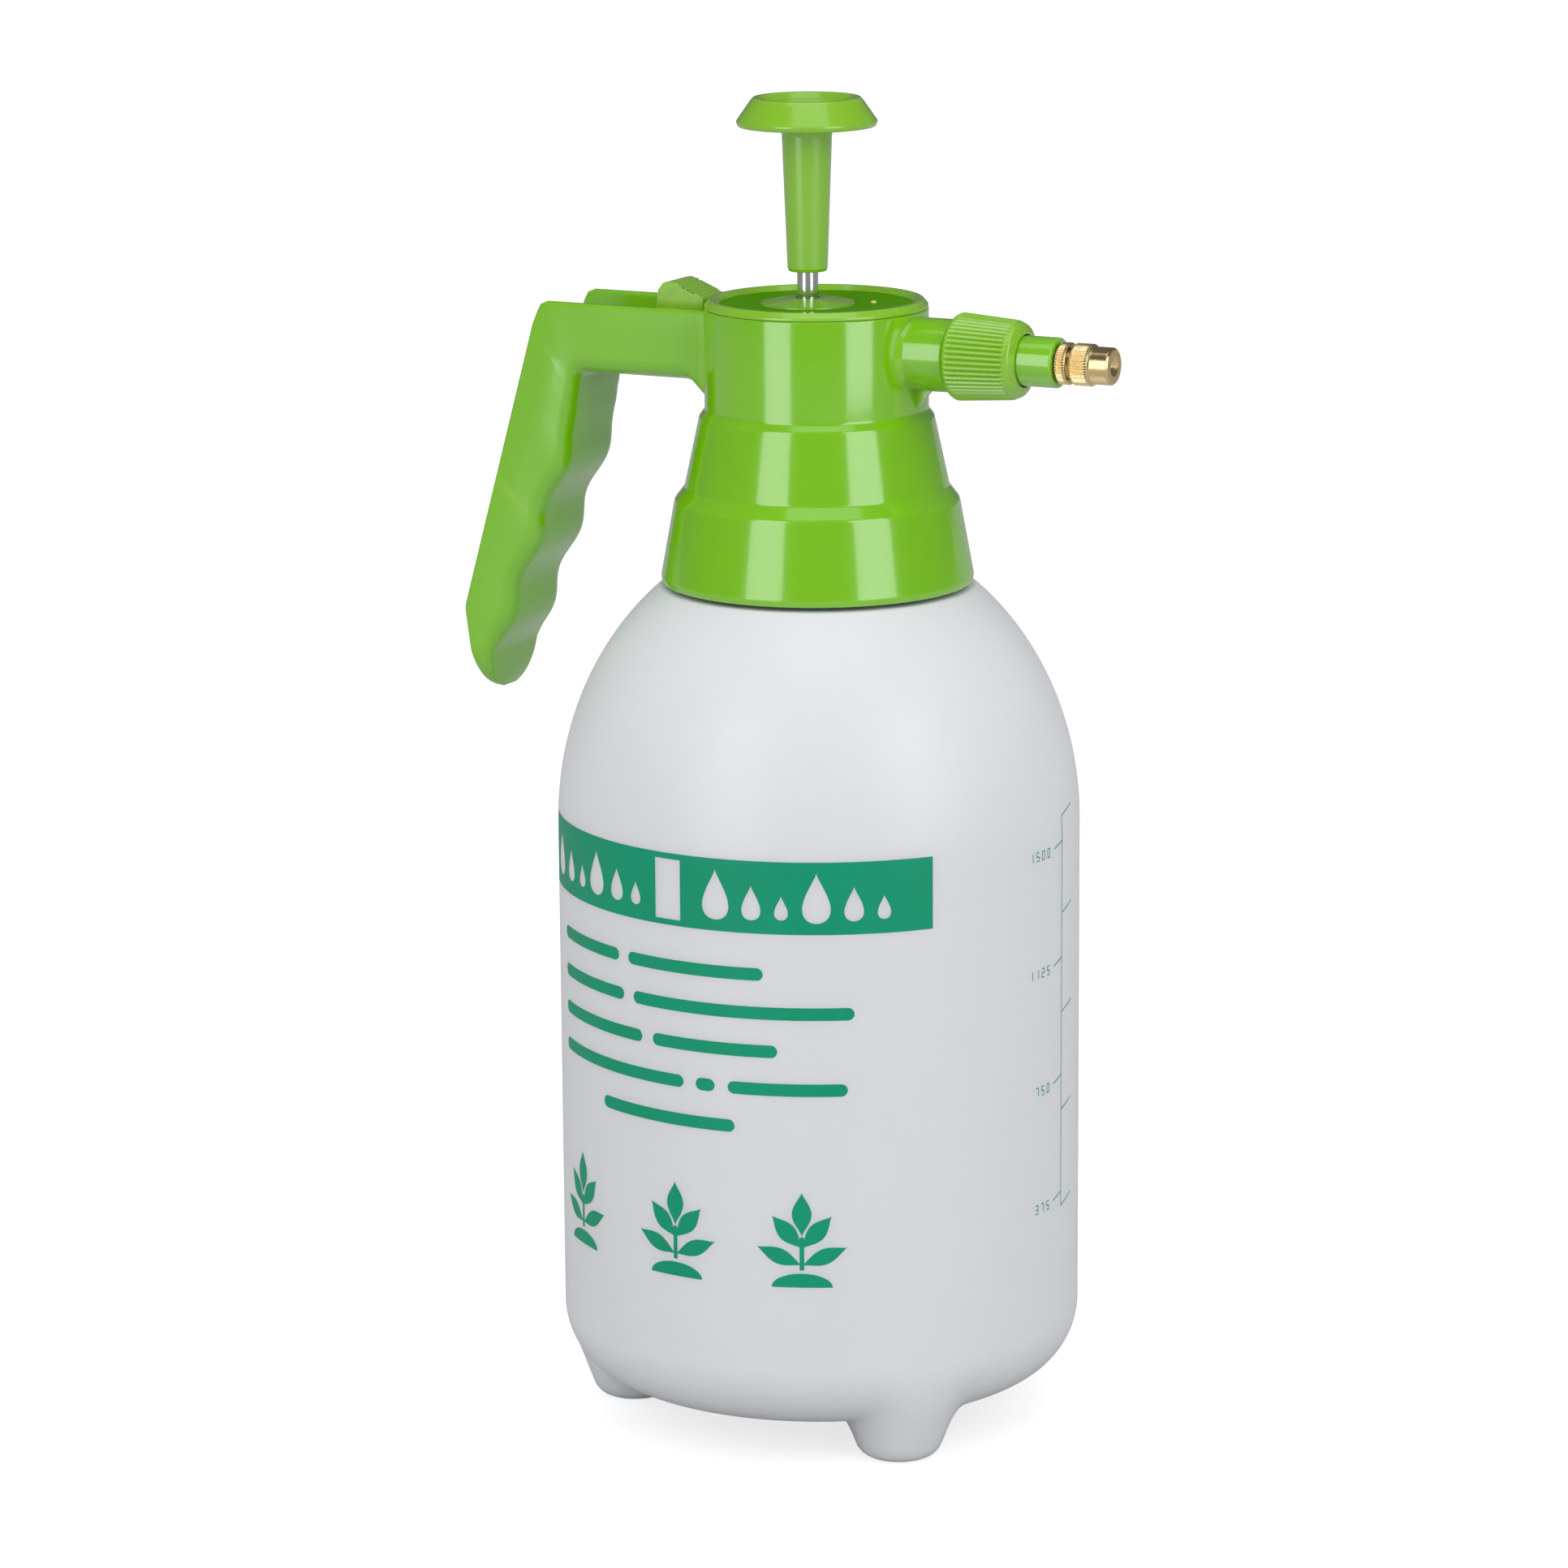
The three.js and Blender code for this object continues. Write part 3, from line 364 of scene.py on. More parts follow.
# %% Moulding grain group
grain_group, start, end = new_group(
    "moulding grain", [("Scale", 900.0), ("Coarse Share", 0.4)], ["Height", "Spread"])
where = add(grain_group, "ShaderNodeTexCoord")
fine = add(grain_group, "ShaderNodeTexNoise", Detail=4.0, Roughness=0.6)
coarse = add(grain_group, "ShaderNodeTexNoise", Detail=2.0, Roughness=0.5)
join(grain_group, where.outputs["Object"], fine.inputs["Vector"])
join(grain_group, where.outputs["Object"], coarse.inputs["Vector"])
join(grain_group, start.outputs["Scale"], fine.inputs["Scale"])
COARSE_TO_FINE = 0.08
coarser = arithmetic(grain_group, "MULTIPLY", start.outputs["Scale"], COARSE_TO_FINE)
join(grain_group, coarser, coarse.inputs["Scale"])
weighted = arithmetic(grain_group, "MULTIPLY", coarse.outputs["Fac"], start.outputs["Coarse Share"])
join(grain_group, arithmetic(grain_group, "ADD", fine.outputs["Fac"], weighted), end.inputs["Height"])
centred = arithmetic(grain_group, "SUBTRACT", coarse.outputs["Fac"], 0.5)
join(grain_group, arithmetic(grain_group, "MULTIPLY", centred, 2.0), end.inputs["Spread"])
print("grain group nodes:", len(grain_group.nodes))

# %% [markdown]
# Flow marks are the slow, cloudy changes of tone that melt leaves as it fills a mould. A
# noise bent by another noise gives streaks instead of round blobs.

# %% Flow mark group
flow_group, start, end = new_group("flow marks", [("Scale", 14.0), ("Contrast", 1.0)], ["Mask"])
where = add(flow_group, "ShaderNodeTexCoord")
stretch = add(flow_group, "ShaderNodeMapping")
stretch.inputs["Scale"].default_value = (1.0, 1.0, 0.45)
clouds = add(flow_group, "ShaderNodeTexNoise", Detail=3.0, Roughness=0.55, Distortion=1.2)
join(flow_group, where.outputs["Object"], stretch.inputs["Vector"])
join(flow_group, stretch.outputs["Vector"], clouds.inputs["Vector"])
join(flow_group, start.outputs["Scale"], clouds.inputs["Scale"])
centred = arithmetic(flow_group, "SUBTRACT", clouds.outputs["Fac"], 0.5)
scaled = arithmetic(flow_group, "MULTIPLY", centred, start.outputs["Contrast"])
join(flow_group, arithmetic(flow_group, "ADD", scaled, 0.5, clamp=True), end.inputs["Mask"])
print("flow group nodes:", len(flow_group.nodes))

# %% [markdown]
# Edges are found from the Pointiness of the surface: it rises on convex corners. Broken up by
# noise, it becomes wear on metal and a paler rubbed line on plastic.

# %% Edge wear group
wear_group, start, end = new_group("edge wear", [("Amount", 1.0), ("Breakup", 220.0)], ["Mask"])
shape = add(wear_group, "ShaderNodeNewGeometry")
where = add(wear_group, "ShaderNodeTexCoord")
chips = add(wear_group, "ShaderNodeTexNoise", Detail=3.0)
join(wear_group, where.outputs["Object"], chips.inputs["Vector"])
join(wear_group, start.outputs["Breakup"], chips.inputs["Scale"])
CONVEX_FROM = 0.515
WEAR_STEEPNESS = 14.0
raised = arithmetic(wear_group, "SUBTRACT", shape.outputs["Pointiness"], CONVEX_FROM)
sharpened = arithmetic(wear_group, "MULTIPLY", raised, WEAR_STEEPNESS, clamp=True)
broken = arithmetic(wear_group, "MULTIPLY", sharpened, chips.outputs["Fac"])
scaled = arithmetic(wear_group, "MULTIPLY", broken, start.outputs["Amount"])
join(wear_group, arithmetic(wear_group, "MINIMUM", scaled, 1.0, clamp=True), end.inputs["Mask"])
print("wear group nodes:", len(wear_group.nodes))

# %% [markdown]
# Handling leaves hairlines: long thin marks in several directions. Two stretched noises,
# turned against each other and cut at a high threshold, leave only such thin lines.

# %% Hairline group
hair_group, start, end = new_group("hairlines", [("Scale", 60.0), ("Amount", 1.0)], ["Mask"])
where = add(hair_group, "ShaderNodeTexCoord")
HAIR_FROM = 0.66
HAIR_STEEPNESS = 12.0
lines = []
for turn, stretch_by in ((0.6, (1.0, 18.0, 3.0)), (-0.9, (14.0, 1.0, 2.0))):
    turned_map = add(hair_group, "ShaderNodeMapping")
    turned_map.inputs["Rotation"].default_value = (turn, 0.4 * turn, turn)
    turned_map.inputs["Scale"].default_value = stretch_by
    streak = add(hair_group, "ShaderNodeTexNoise", Detail=1.0)
    join(hair_group, where.outputs["Object"], turned_map.inputs["Vector"])
    join(hair_group, turned_map.outputs["Vector"], streak.inputs["Vector"])
    join(hair_group, start.outputs["Scale"], streak.inputs["Scale"])
    peak = arithmetic(hair_group, "SUBTRACT", streak.outputs["Fac"], HAIR_FROM)
    lines.append(arithmetic(hair_group, "MULTIPLY", peak, HAIR_STEEPNESS, clamp=True))
both = arithmetic(hair_group, "MAXIMUM", lines[0], lines[1])
share = arithmetic(hair_group, "MULTIPLY", both, start.outputs["Amount"], clamp=True)
join(hair_group, share, end.inputs["Mask"])
print("hairline group nodes:", len(hair_group.nodes))

# %% [markdown]
# ## One recipe for a moulded or turned surface
# Every finish below mixes the same four effects in different amounts: flow marks move the
# colour between a base and a second tone, wear lightens edges, grain and hairlines feed the
# roughness and a Bump node. The shader itself stays in the material, and whatever is the same
# all over the surface is set straight on its own socket.

# %% Surface recipe
HAIR_ROUGHNESS = 0.18
HAIR_DEPTH = 0.6
BUMP_DISTANCE = 0.0004


def surface(name, base, second, edge, roughness, spread=0.05, grain=900.0, bump=0.05,
            flow=14.0, wear=0.5, hair=0.3, hair_scale=60.0, metallic=0.0, settings=None):
    """A finish from a base colour, a second tone and an edge tone, with the shared effects."""
    finish = bpy.data.materials.new(name)
    finish.use_nodes = True
    tree = finish.node_tree
    shader = tree.nodes["Principled BSDF"]
    shader.inputs["Metallic"].default_value = metallic
    for socket, value in (settings or {}).items():
        shader.inputs[socket].default_value = value

    def group(which, **values):
        node = tree.nodes.new("ShaderNodeGroup")
        node.node_tree = which
        for label, value in values.items():
            node.inputs[label.replace("_", " ")].default_value = value
        return node

    grain_node = group(grain_group, Scale=grain, Coarse_Share=0.5)
    flow_node = group(flow_group, Scale=flow, Contrast=1.6)
    wear_node = group(wear_group, Amount=wear)
    hair_node = group(hair_group, Scale=hair_scale, Amount=hair)
    tone = add(tree, "ShaderNodeMix", data_type="RGBA")
    tone.inputs["A"].default_value = (*base, 1)
    tone.inputs["B"].default_value = (*second, 1)
    join(tree, flow_node.outputs["Mask"], tone.inputs["Factor"])
    edged = add(tree, "ShaderNodeMix", data_type="RGBA")
    join(tree, tone.outputs["Result"], edged.inputs["A"])
    edged.inputs["B"].default_value = (*edge, 1)
    join(tree, wear_node.outputs["Mask"], edged.inputs["Factor"])
    join(tree, edged.outputs["Result"], shader.inputs["Base Color"])
    uneven = arithmetic(tree, "MULTIPLY", grain_node.outputs["Spread"], spread)
    scuffed = arithmetic(tree, "MULTIPLY", hair_node.outputs["Mask"], HAIR_ROUGHNESS)
    rough = arithmetic(tree, "ADD", arithmetic(tree, "ADD", uneven, roughness), scuffed, clamp=True)
    join(tree, rough, shader.inputs["Roughness"])
    scratch = arithmetic(tree, "MULTIPLY", hair_node.outputs["Mask"], -HAIR_DEPTH)
    relief = arithmetic(tree, "ADD", grain_node.outputs["Height"], scratch)
    bumped = add(tree, "ShaderNodeBump")
    bumped.inputs["Strength"].default_value = bump
    bumped.inputs["Distance"].default_value = BUMP_DISTANCE
    join(tree, relief, bumped.inputs["Height"])
    join(tree, bumped.outputs["Normal"], shader.inputs["Normal"])
    return finish


# %% [markdown]
# The head is injection-moulded polypropylene in a bright yellow-green. It is glossy but a
# little soft under its skin, so light spreads slightly inside it: a small subsurface share
# lifts the shadows the way thin coloured plastic does. The knob, the nut, the trigger and
# the cap are a paler copy of the green, which is painted light, and a little duller. The
# cap's dish is a deeper copy that mirrors little, which is painted shade; the small yellow
# stub on it is where its mould was fed.

# %% Green plastics
def daylight(red, green, blue):
    """Turns screen values 0..255 into the linear colour that a shader wants."""
    out = []
    for value in (red, green, blue):
        v = value / 255
        out.append(v / 12.92 if v <= 0.04045 else ((v + 0.055) / 1.055) ** 2.4)
    return tuple(out)


GREEN_SETTINGS = {
    "IOR": 1.49, "Subsurface Weight": 0.1, "Subsurface Scale": 0.003,
    "Subsurface Radius": (0.6, 1.0, 0.2), "Specular IOR Level": 0.9,
    "Coat Weight": 1.0, "Coat Roughness": 0.07,
}
green_plastic = surface(
    "green plastic", daylight(122, 192, 0), daylight(114, 184, 0), daylight(164, 212, 50),
    roughness=0.17, spread=0.05, grain=700.0, bump=0.04, flow=16.0, wear=0.35, hair=0.3,
    settings=GREEN_SETTINGS)
# A paler copy of the head's green: the paleness is painted light. It is also a little rougher.
pale_green_painted_light = surface(
    "pale green with painted light", daylight(134, 193, 22), daylight(125, 185, 14), daylight(178, 219, 84),
    roughness=0.26, spread=0.05, grain=700.0, bump=0.05, flow=16.0, wear=0.35, hair=0.3,
    settings=GREEN_SETTINGS)
# A darker copy of the green for the cap's dish: the darkness is painted shade. It also mirrors little.
dish_painted_shade = surface(
    "cap dish with painted shade", daylight(76, 143, 0), daylight(70, 136, 0), daylight(140, 200, 30),
    roughness=0.2, spread=0.05, grain=700.0, bump=0.04, flow=16.0, wear=0.2, hair=0.3,
    settings={"IOR": 1.04, "Specular IOR Level": 0.2})
gate_plastic = surface(
    "gate mark", daylight(232, 226, 96), daylight(220, 212, 80), daylight(244, 240, 160),
    roughness=0.3, bump=0.04, wear=0.3, hair=0.1, settings=GREEN_SETTINGS)
print("green plastics:", green_plastic.name, pale_green_painted_light.name, dish_painted_shade.name, gate_plastic.name)

# %% [markdown]
# The bottle is blown polyethylene: milky, bluish white and soft to the light. Strong
# subsurface scattering gives the even glow; a matt skin with a very fine grain keeps its
# highlights broad.

# %% Bottle and pale plastics
bottle_plastic = surface(
    "milky bottle plastic", daylight(229, 235, 240), daylight(223, 231, 237), daylight(240, 244, 247),
    roughness=0.34, spread=0.06, grain=1100.0, bump=0.06, flow=9.0, wear=0.2, hair=0.25,
    settings={"IOR": 1.5, "Subsurface Weight": 0.45, "Subsurface Scale": 0.012,
              "Subsurface Radius": (0.8, 0.95, 1.0)})
white_plastic = surface(
    "natural white plastic", daylight(236, 236, 230), daylight(228, 229, 224), daylight(246, 246, 243),
    roughness=0.38, spread=0.06, grain=800.0, bump=0.06, flow=20.0, wear=0.3, hair=0.35,
    settings={"IOR": 1.5, "Subsurface Weight": 0.25, "Subsurface Scale": 0.006})
hose_plastic = surface(
    "clear hose", daylight(222, 230, 228), daylight(212, 222, 221), daylight(236, 240, 239),
    roughness=0.3, spread=0.05, grain=600.0, bump=0.04, flow=30.0, wear=0.2, hair=0.2,
    settings={"IOR": 1.45, "Subsurface Weight": 0.3, "Subsurface Scale": 0.005})
print("pale plastics:", bottle_plastic.name, white_plastic.name, hose_plastic.name)

# %% [markdown]
# Rubber is nearly black and dull, with a coarse grain. Metals take their colour in the
# reflection: brass is turned and knurled, so its edges are polished bright; the pump rod is
# chromed and almost a mirror; the valve's wire is drawn steel.

# %% Rubber and metals
rubber = surface(
    "black rubber", (0.018, 0.018, 0.019), (0.03, 0.03, 0.031), (0.06, 0.06, 0.06),
    roughness=0.62, spread=0.1, grain=1400.0, bump=0.2, flow=40.0, wear=0.8, hair=0.2)
brass_metal = surface(
    "turned brass", daylight(244, 220, 168), daylight(232, 202, 144), daylight(252, 236, 200),
    roughness=0.2, spread=0.07, grain=1800.0, bump=0.07, flow=60.0, wear=1.0, hair=0.6,
    hair_scale=160.0, metallic=1.0)
chrome_metal = surface(
    "chromed rod", daylight(214, 216, 218), daylight(204, 206, 209), daylight(232, 233, 234),
    roughness=0.09, spread=0.04, grain=1500.0, bump=0.02, flow=50.0, wear=0.6, hair=0.5,
    hair_scale=120.0, metallic=1.0)
spring_metal = surface(
    "drawn steel wire", daylight(176, 176, 176), daylight(160, 160, 161), daylight(205, 205, 205),
    roughness=0.3, spread=0.08, grain=2200.0, bump=0.06, flow=60.0, wear=0.6, hair=0.4,
    hair_scale=200.0, metallic=1.0)
ink = surface(
    "teal screen ink", daylight(0, 150, 110), daylight(0, 141, 103), daylight(20, 160, 122),
    roughness=0.45, spread=0.08, grain=2600.0, bump=0.05, flow=45.0, wear=0.0, hair=0.3,
    hair_scale=90.0, settings={"Specular IOR Level": 0.25})
print("metals and ink ready")

# %% [markdown]
# The floor is a pale light table. Its glow is only seen straight on and lights nothing, so the
# board stays white to its far edge, the object's soft shadow still shows on it, and the
# bottle's underside keeps its own shade.

# %% Floor
floor_finish = surface(
    "pale board", (0.46, 0.46, 0.46), (0.45, 0.45, 0.452), (0.47, 0.47, 0.47),
    roughness=0.8, spread=0.04, grain=120.0, bump=0.02, flow=1.5, wear=0.0, hair=0.0,
    settings={"Emission Color": (1, 1, 1, 1), "Specular IOR Level": 0.1})
board = floor_finish.node_tree
ray = add(board, "ShaderNodeLightPath")
FLOOR_GLOW = 0.72
glow = arithmetic(board, "MULTIPLY", ray.outputs["Is Camera Ray"], FLOOR_GLOW)
join(board, glow, board.nodes["Principled BSDF"].inputs["Emission Strength"])
REACH = 9.0
floor_mesh = bpy.data.meshes.new("floor")
floor_corners = [(-REACH, -REACH, 0), (REACH, -REACH, 0), (REACH, REACH, 0), (-REACH, REACH, 0)]
floor_mesh.from_pydata(floor_corners, [], [(0, 1, 2, 3)])
floor = bpy.data.objects.new("floor", floor_mesh)
scene.collection.objects.link(floor)
floor.data.materials.append(floor_finish)
print("floor laid")

# %% [markdown]
# ## The bottle
# A blown bottle is one thin skin. Its body is a plain cylinder with an elliptic shoulder, and
# its base is where the character is: three rounded feet with low swells between them. The
# skin is made as one grid turned about the axis, and the base rows are pulled down wherever a
# foot or a swell lies lower than the plain base. A smooth minimum does that pulling, so the
# foot flows into the base as blown plastic does, instead of meeting it at a crease.

# %% Bottle profile
WALL_BOTTOM = 27.0
STRAIGHT_TOP = 146.0
SHOULDER_RISE = 71.0
BASE_RING = 48.0
BASE_CLEAR = 10.5
BASE_DISH = 3.5
NECK_RADIUS = 27.0
LEDGE_RADIUS = 37.5
ledge_z = STRAIGHT_TOP + SHOULDER_RISE * math.sqrt(1 - (LEDGE_RADIUS / bottle_radius) ** 2)


def ellipse(centre_r, centre_z, reach_r, reach_z, start, stop, steps):
    points = []
    for i in range(steps + 1):
        a = math.radians(start + (stop - start) * i / steps)
        points.append((centre_r + reach_r * math.cos(a), centre_z + reach_z * math.sin(a)))
    return points


DISH_ROWS = 38
dish_rows = []
for i in range(DISH_ROWS):
    outward = i / DISH_ROWS
    dish_rows.append((BASE_RING * outward, BASE_CLEAR + BASE_DISH * (1 - outward)))
round_rows = ellipse(BASE_RING, WALL_BOTTOM, bottle_radius - BASE_RING, WALL_BOTTOM - BASE_CLEAR, -90, 0, 26)
wall_rows = [(bottle_radius, WALL_BOTTOM + (STRAIGHT_TOP - WALL_BOTTOM) * i / 12) for i in range(1, 12)]
shoulder_end = math.degrees(math.asin((ledge_z - STRAIGHT_TOP) / SHOULDER_RISE))
shoulder_rows = ellipse(0, STRAIGHT_TOP, bottle_radius, SHOULDER_RISE, 0, shoulder_end, 34)
neck_low = ledge_z + 4
neck_corner = soften([shoulder_rows[-2], (LEDGE_RADIUS, ledge_z, 1.6), (NECK_RADIUS, ledge_z, 1.2),
                      (NECK_RADIUS, neck_low)])[1:]
THREAD_ROWS = 46
neck_rise = rim_z - 1.6 - neck_low
thread_rows = [(NECK_RADIUS, neck_low + neck_rise * i / THREAD_ROWS) for i in range(1, THREAD_ROWS + 1)]
rim_rows = soften([(NECK_RADIUS, rim_z - 1.5), (NECK_RADIUS, rim_z, 0.8), (NECK_RADIUS - 0.9, rim_z)])[1:]
body_rows = dish_rows + round_rows + wall_rows + shoulder_rows[:-1]
bottle_profile = body_rows + neck_corner + thread_rows + rim_rows
print("bottle profile rows:", len(bottle_profile), "ledge height %.1f" % ledge_z)

# %% [markdown]
# The feet and swells are written as heights over the floor. A foot is a flat pad, a round
# corner and a steep side; a swell is the underside of a ball. The neck's thread is a ridge
# that climbs one pitch each turn and fades in and out at its ends.

# %% Feet, swells and thread
FOOT_CIRCLE = 46.0
FOOT_PAD = 6.0
FOOT_CORNER = 4.6
FOOT_SLOPE = 2.75
FOOT_ANGLES = [-40.0, 80.0, 200.0]
SWELL_CIRCLE = 40.0
SWELL_RADIUS = 11.0
SWELL_LOWEST = 8.2
THREAD_DEPTH = 1.55
THREAD_PITCH = 4.2
THREAD_TURNS = 1.75
BOTTLE_WALL = 1.8
thread_start = ledge_z + 7


def smooth_minimum(a, b, blend):
    """The lesser of two heights, rounded where they cross."""
    overlap = max(blend - abs(a - b), 0) / blend
    return min(a, b) - overlap * overlap * blend / 4


def foot_height(distance):
    """Height of a foot's skin at a distance from its own middle."""
    out = distance - FOOT_PAD
    if out <= 0:
        return 0.0
    knee = FOOT_CORNER * FOOT_SLOPE / math.hypot(1, FOOT_SLOPE)
    if out < knee:
        return FOOT_CORNER - math.sqrt(FOOT_CORNER ** 2 - out ** 2)
    return FOOT_CORNER - math.sqrt(FOOT_CORNER ** 2 - knee ** 2) + (out - knee) * FOOT_SLOPE


def thread_ridge(height, angle):
    """How far the neck's thread stands out at a height and an angle."""
    best = 0.0
    for lap in range(3):
        along = angle / (2 * math.pi) + lap
        fade = min(1.0, 6 * along, 6 * (THREAD_TURNS - along))
        if fade <= 0:
            continue
        off = abs(height - thread_start - along * THREAD_PITCH)
        best = max(best, THREAD_DEPTH * fade * max(0.0, 1 - max(0.0, off - 0.35) / 0.9))
    return best


def bottle_shift(r, h, angle):
    """Moves a point of the plain turned grid on to the thread, the feet or the swells."""
    if h > ledge_z + 3:
        return r + thread_ridge(h, angle), h
    if h > WALL_BOTTOM or r < 18:
        return r, h
    x = r * math.cos(angle)
    y = r * math.sin(angle)
    lowest = h
    for degrees in FOOT_ANGLES:
        a = math.radians(degrees)
        d = math.hypot(x - FOOT_CIRCLE * math.cos(a), y - FOOT_CIRCLE * math.sin(a))
        lowest = smooth_minimum(lowest, foot_height(d), 6.0)
        b = math.radians(degrees + 60)
        d = math.hypot(x - SWELL_CIRCLE * math.cos(b), y - SWELL_CIRCLE * math.sin(b))
        if d < SWELL_RADIUS:
            swell = SWELL_LOWEST + SWELL_RADIUS - math.sqrt(SWELL_RADIUS ** 2 - d ** 2)
            lowest = smooth_minimum(lowest, swell, 3.0)
    held = min(1.0, (WALL_BOTTOM - h) / 9)
    return r, max(0.0, h + (lowest - h) * held)


bottle_mesh = turned("bottle_skin", bottle_profile, 288, (bottle_x, 0), shift=bottle_shift, sharp=60)
bottle = place("bottle_skin", bottle_mesh, bottle_plastic, "bottle", "bottle_plastic", "bottle")
skin = bottle.modifiers.new("wall", "SOLIDIFY")
skin.thickness = BOTTLE_WALL * MM
skin.offset = -1

# %% [markdown]
# ## The print
# The printing is one colour of ink laid on the round wall. Real ink has a thickness of a few
# hundredths of a millimetre, so each mark is a small patch of mesh bent round the bottle at
# that height over it. The marks are this lesson's own: a band with drops in it, plain bars
# instead of sentences, leaf motifs, and a measuring scale with its numbers.

# %% Bending flat marks round the bottle
INK_HEIGHT = 0.016
SHOULDER_STEP = 1.1


def wall_radius(z):
    """Radius of the wall at a height, on the straight part or the shoulder."""
    if z <= STRAIGHT_TOP:
        return bottle_radius
    return bottle_radius * math.sqrt(1 - ((z - STRAIGHT_TOP) / SHOULDER_RISE) ** 2)


def on_wall(degrees, z):
    a = math.radians(degrees)
    r = wall_radius(z) + INK_HEIGHT
    return (bottle_x + r * math.cos(a), r * math.sin(a), z)


def bent(outlines, holes=(), step=1.5):
    """Fills flat outlines of (degrees, height), cuts holes in them, and bends them on the wall."""
    tool = bmesh.new()
    for outline in [*outlines, *holes]:
        ring = [tool.verts.new((d, z, 0)) for d, z in outline]
        for i, vert in enumerate(ring):
            tool.edges.new((vert, ring[(i + 1) % len(ring)]))
    bmesh.ops.triangle_fill(tool, edges=tool.edges[:], use_beauty=True)
    lows = [v.co.x for v in tool.verts]
    position = math.floor(min(lows) / step) * step + step
    while position < max(lows):
        bmesh.ops.bisect_plane(
            tool, geom=tool.verts[:] + tool.edges[:] + tool.faces[:], dist=1e-6,
            plane_co=(position, 0, 0), plane_no=(1, 0, 0))
        position += step
    heights = [v.co.y for v in tool.verts]
    position = max(min(heights) + 0.01, STRAIGHT_TOP - 0.01)
    while position < max(heights):
        bmesh.ops.bisect_plane(
            tool, geom=tool.verts[:] + tool.edges[:] + tool.faces[:], dist=1e-6,
            plane_co=(0, position, 0), plane_no=(0, 1, 0))
        position += SHOULDER_STEP
    for vert in tool.verts:
        vert.co = Vector(on_wall(vert.co.x, vert.co.y)) * MM
    for face in tool.faces:
        centre = face.calc_center_median()
        face.normal_update()
        if face.normal.dot(Vector((centre.x - bottle_x * MM, centre.y, 0))) < 0:
            face.normal_flip()
        face.smooth = True
    return tool


def ink_mesh(name, *layers):
    """Puts several bent marks into one mesh."""
    mesh = bpy.data.meshes.new(name)
    whole = bmesh.new()
    for layer in layers:
        part = bpy.data.meshes.new("part")
        layer.to_mesh(part)
        layer.free()
        whole.from_mesh(part)
        bpy.data.meshes.remove(part)
    whole.to_mesh(mesh)
    whole.free()
    return mesh


def box_outline(left, right, bottom, top):
    return [(left, bottom), (right, bottom), (right, top), (left, top)]


DEGREES_PER_MM = math.degrees(1 / bottle_radius)
print("one millimetre on the wall is %.3f degrees" % DEGREES_PER_MM)

# %% [markdown]
# The band runs across the front with a pale window near its middle. Water drops of three
# sizes are left open in it, where the bottle shows through the ink.

# %% Printed band
BAND = (-148.5, -38.6, 132.2, 149.3)
WINDOW = (-100.8, -94.4, 133.6, 147.9)


def drop_outline(degrees, z, size):
    """A water drop: a round belly that runs up into a point."""
    points = []
    for i in range(36):
        t = 2 * math.pi * i / 36
        pinch = math.sin(t / 2) ** 1.6
        points.append((degrees + size * 0.5 * math.sin(t) * pinch * DEGREES_PER_MM,
                       z + size * 0.62 * math.cos(t)))
    return points


drops = []
for degrees, z, size in ((-141, 140.6, 8.6), (-133, 139.4, 6.2), (-126.5, 138.4, 4.4), (-120, 140.6, 8.6),
                         (-112.5, 139.4, 6.2), (-106.5, 138.4, 4.4), (-86, 140.8, 9.6), (-78, 139.4, 6.6),
                         (-71.5, 138.4, 4.6), (-64, 140.8, 9.6), (-56, 139.4, 6.6), (-49.5, 138.4, 4.6)):
    drops.append(drop_outline(degrees, z, size))
band = ink_mesh("printed_band", bent([box_outline(*BAND)], [box_outline(*WINDOW), *drops]))
place("printed_band", band, ink, "bottle", "bottle_plastic")

# %% [markdown]
# Below the band, five lines of plain dashes stand where a label would carry its sentences.
# They are round-ended bars of uneven length, thin enough to read as lines of print.

# %% Printed dashes
def pill_outline(left, right, z, thick):
    """A bar with round ends."""
    half = thick / 2
    reach = half * DEGREES_PER_MM
    points = []
    for i in range(9):
        a = math.radians(-90 + 180 * i / 8)
        points.append((right - reach + reach * math.cos(a), z + half * math.sin(a)))
    for i in range(9):
        a = math.radians(90 + 180 * i / 8)
        points.append((left + reach + reach * math.cos(a), z + half * math.sin(a)))
    return points


DASH_THICK = 3.0
dashes = []
for z, spans in (
    (122.5, ((-137.5, -112.0), (-109.0, -75.5))),
    (113.3, ((-137.5, -110.5), (-107.5, -56.0))),
    (104.2, ((-137.5, -105.0), (-102.0, -72.5))),
    (95.1, ((-137.5, -94.0), (-91.0, -86.5), (-83.5, -57.5))),
    (85.8, ((-118.0, -82.0),)),
):
    for left, right in spans:
        dashes.append(pill_outline(left, right, z, DASH_THICK))
dash_mesh = ink_mesh("printed_dashes", *[bent([d]) for d in dashes])
place("printed_dashes", dash_mesh, ink, "bottle", "bottle_plastic")

# %% [markdown]
# Three leaf sprigs close the label. Each has a stem and five pointed leaves that fan out of a
# small mound, a plain garden motif drawn for this model.

# %% Leaf sprigs
def leaf_outline(degrees, z, angle, length, width):
    """A pointed leaf that starts at a point and leans by an angle from upright."""
    a = math.radians(angle)
    points = []
    for i in range(25):
        t = i / 24
        points.append((t * length, width * math.sin(math.pi * t) ** 1.3 / 2))
    for i in range(1, 24):
        t = 1 - i / 24
        points.append((t * length, -width * math.sin(math.pi * t) ** 1.3 / 2))
    out = []
    for along, across in points:
        x = along * math.sin(a) + across * math.cos(a)
        y = along * math.cos(a) - across * math.sin(a)
        out.append((degrees + x * DEGREES_PER_MM, z + y))
    return out


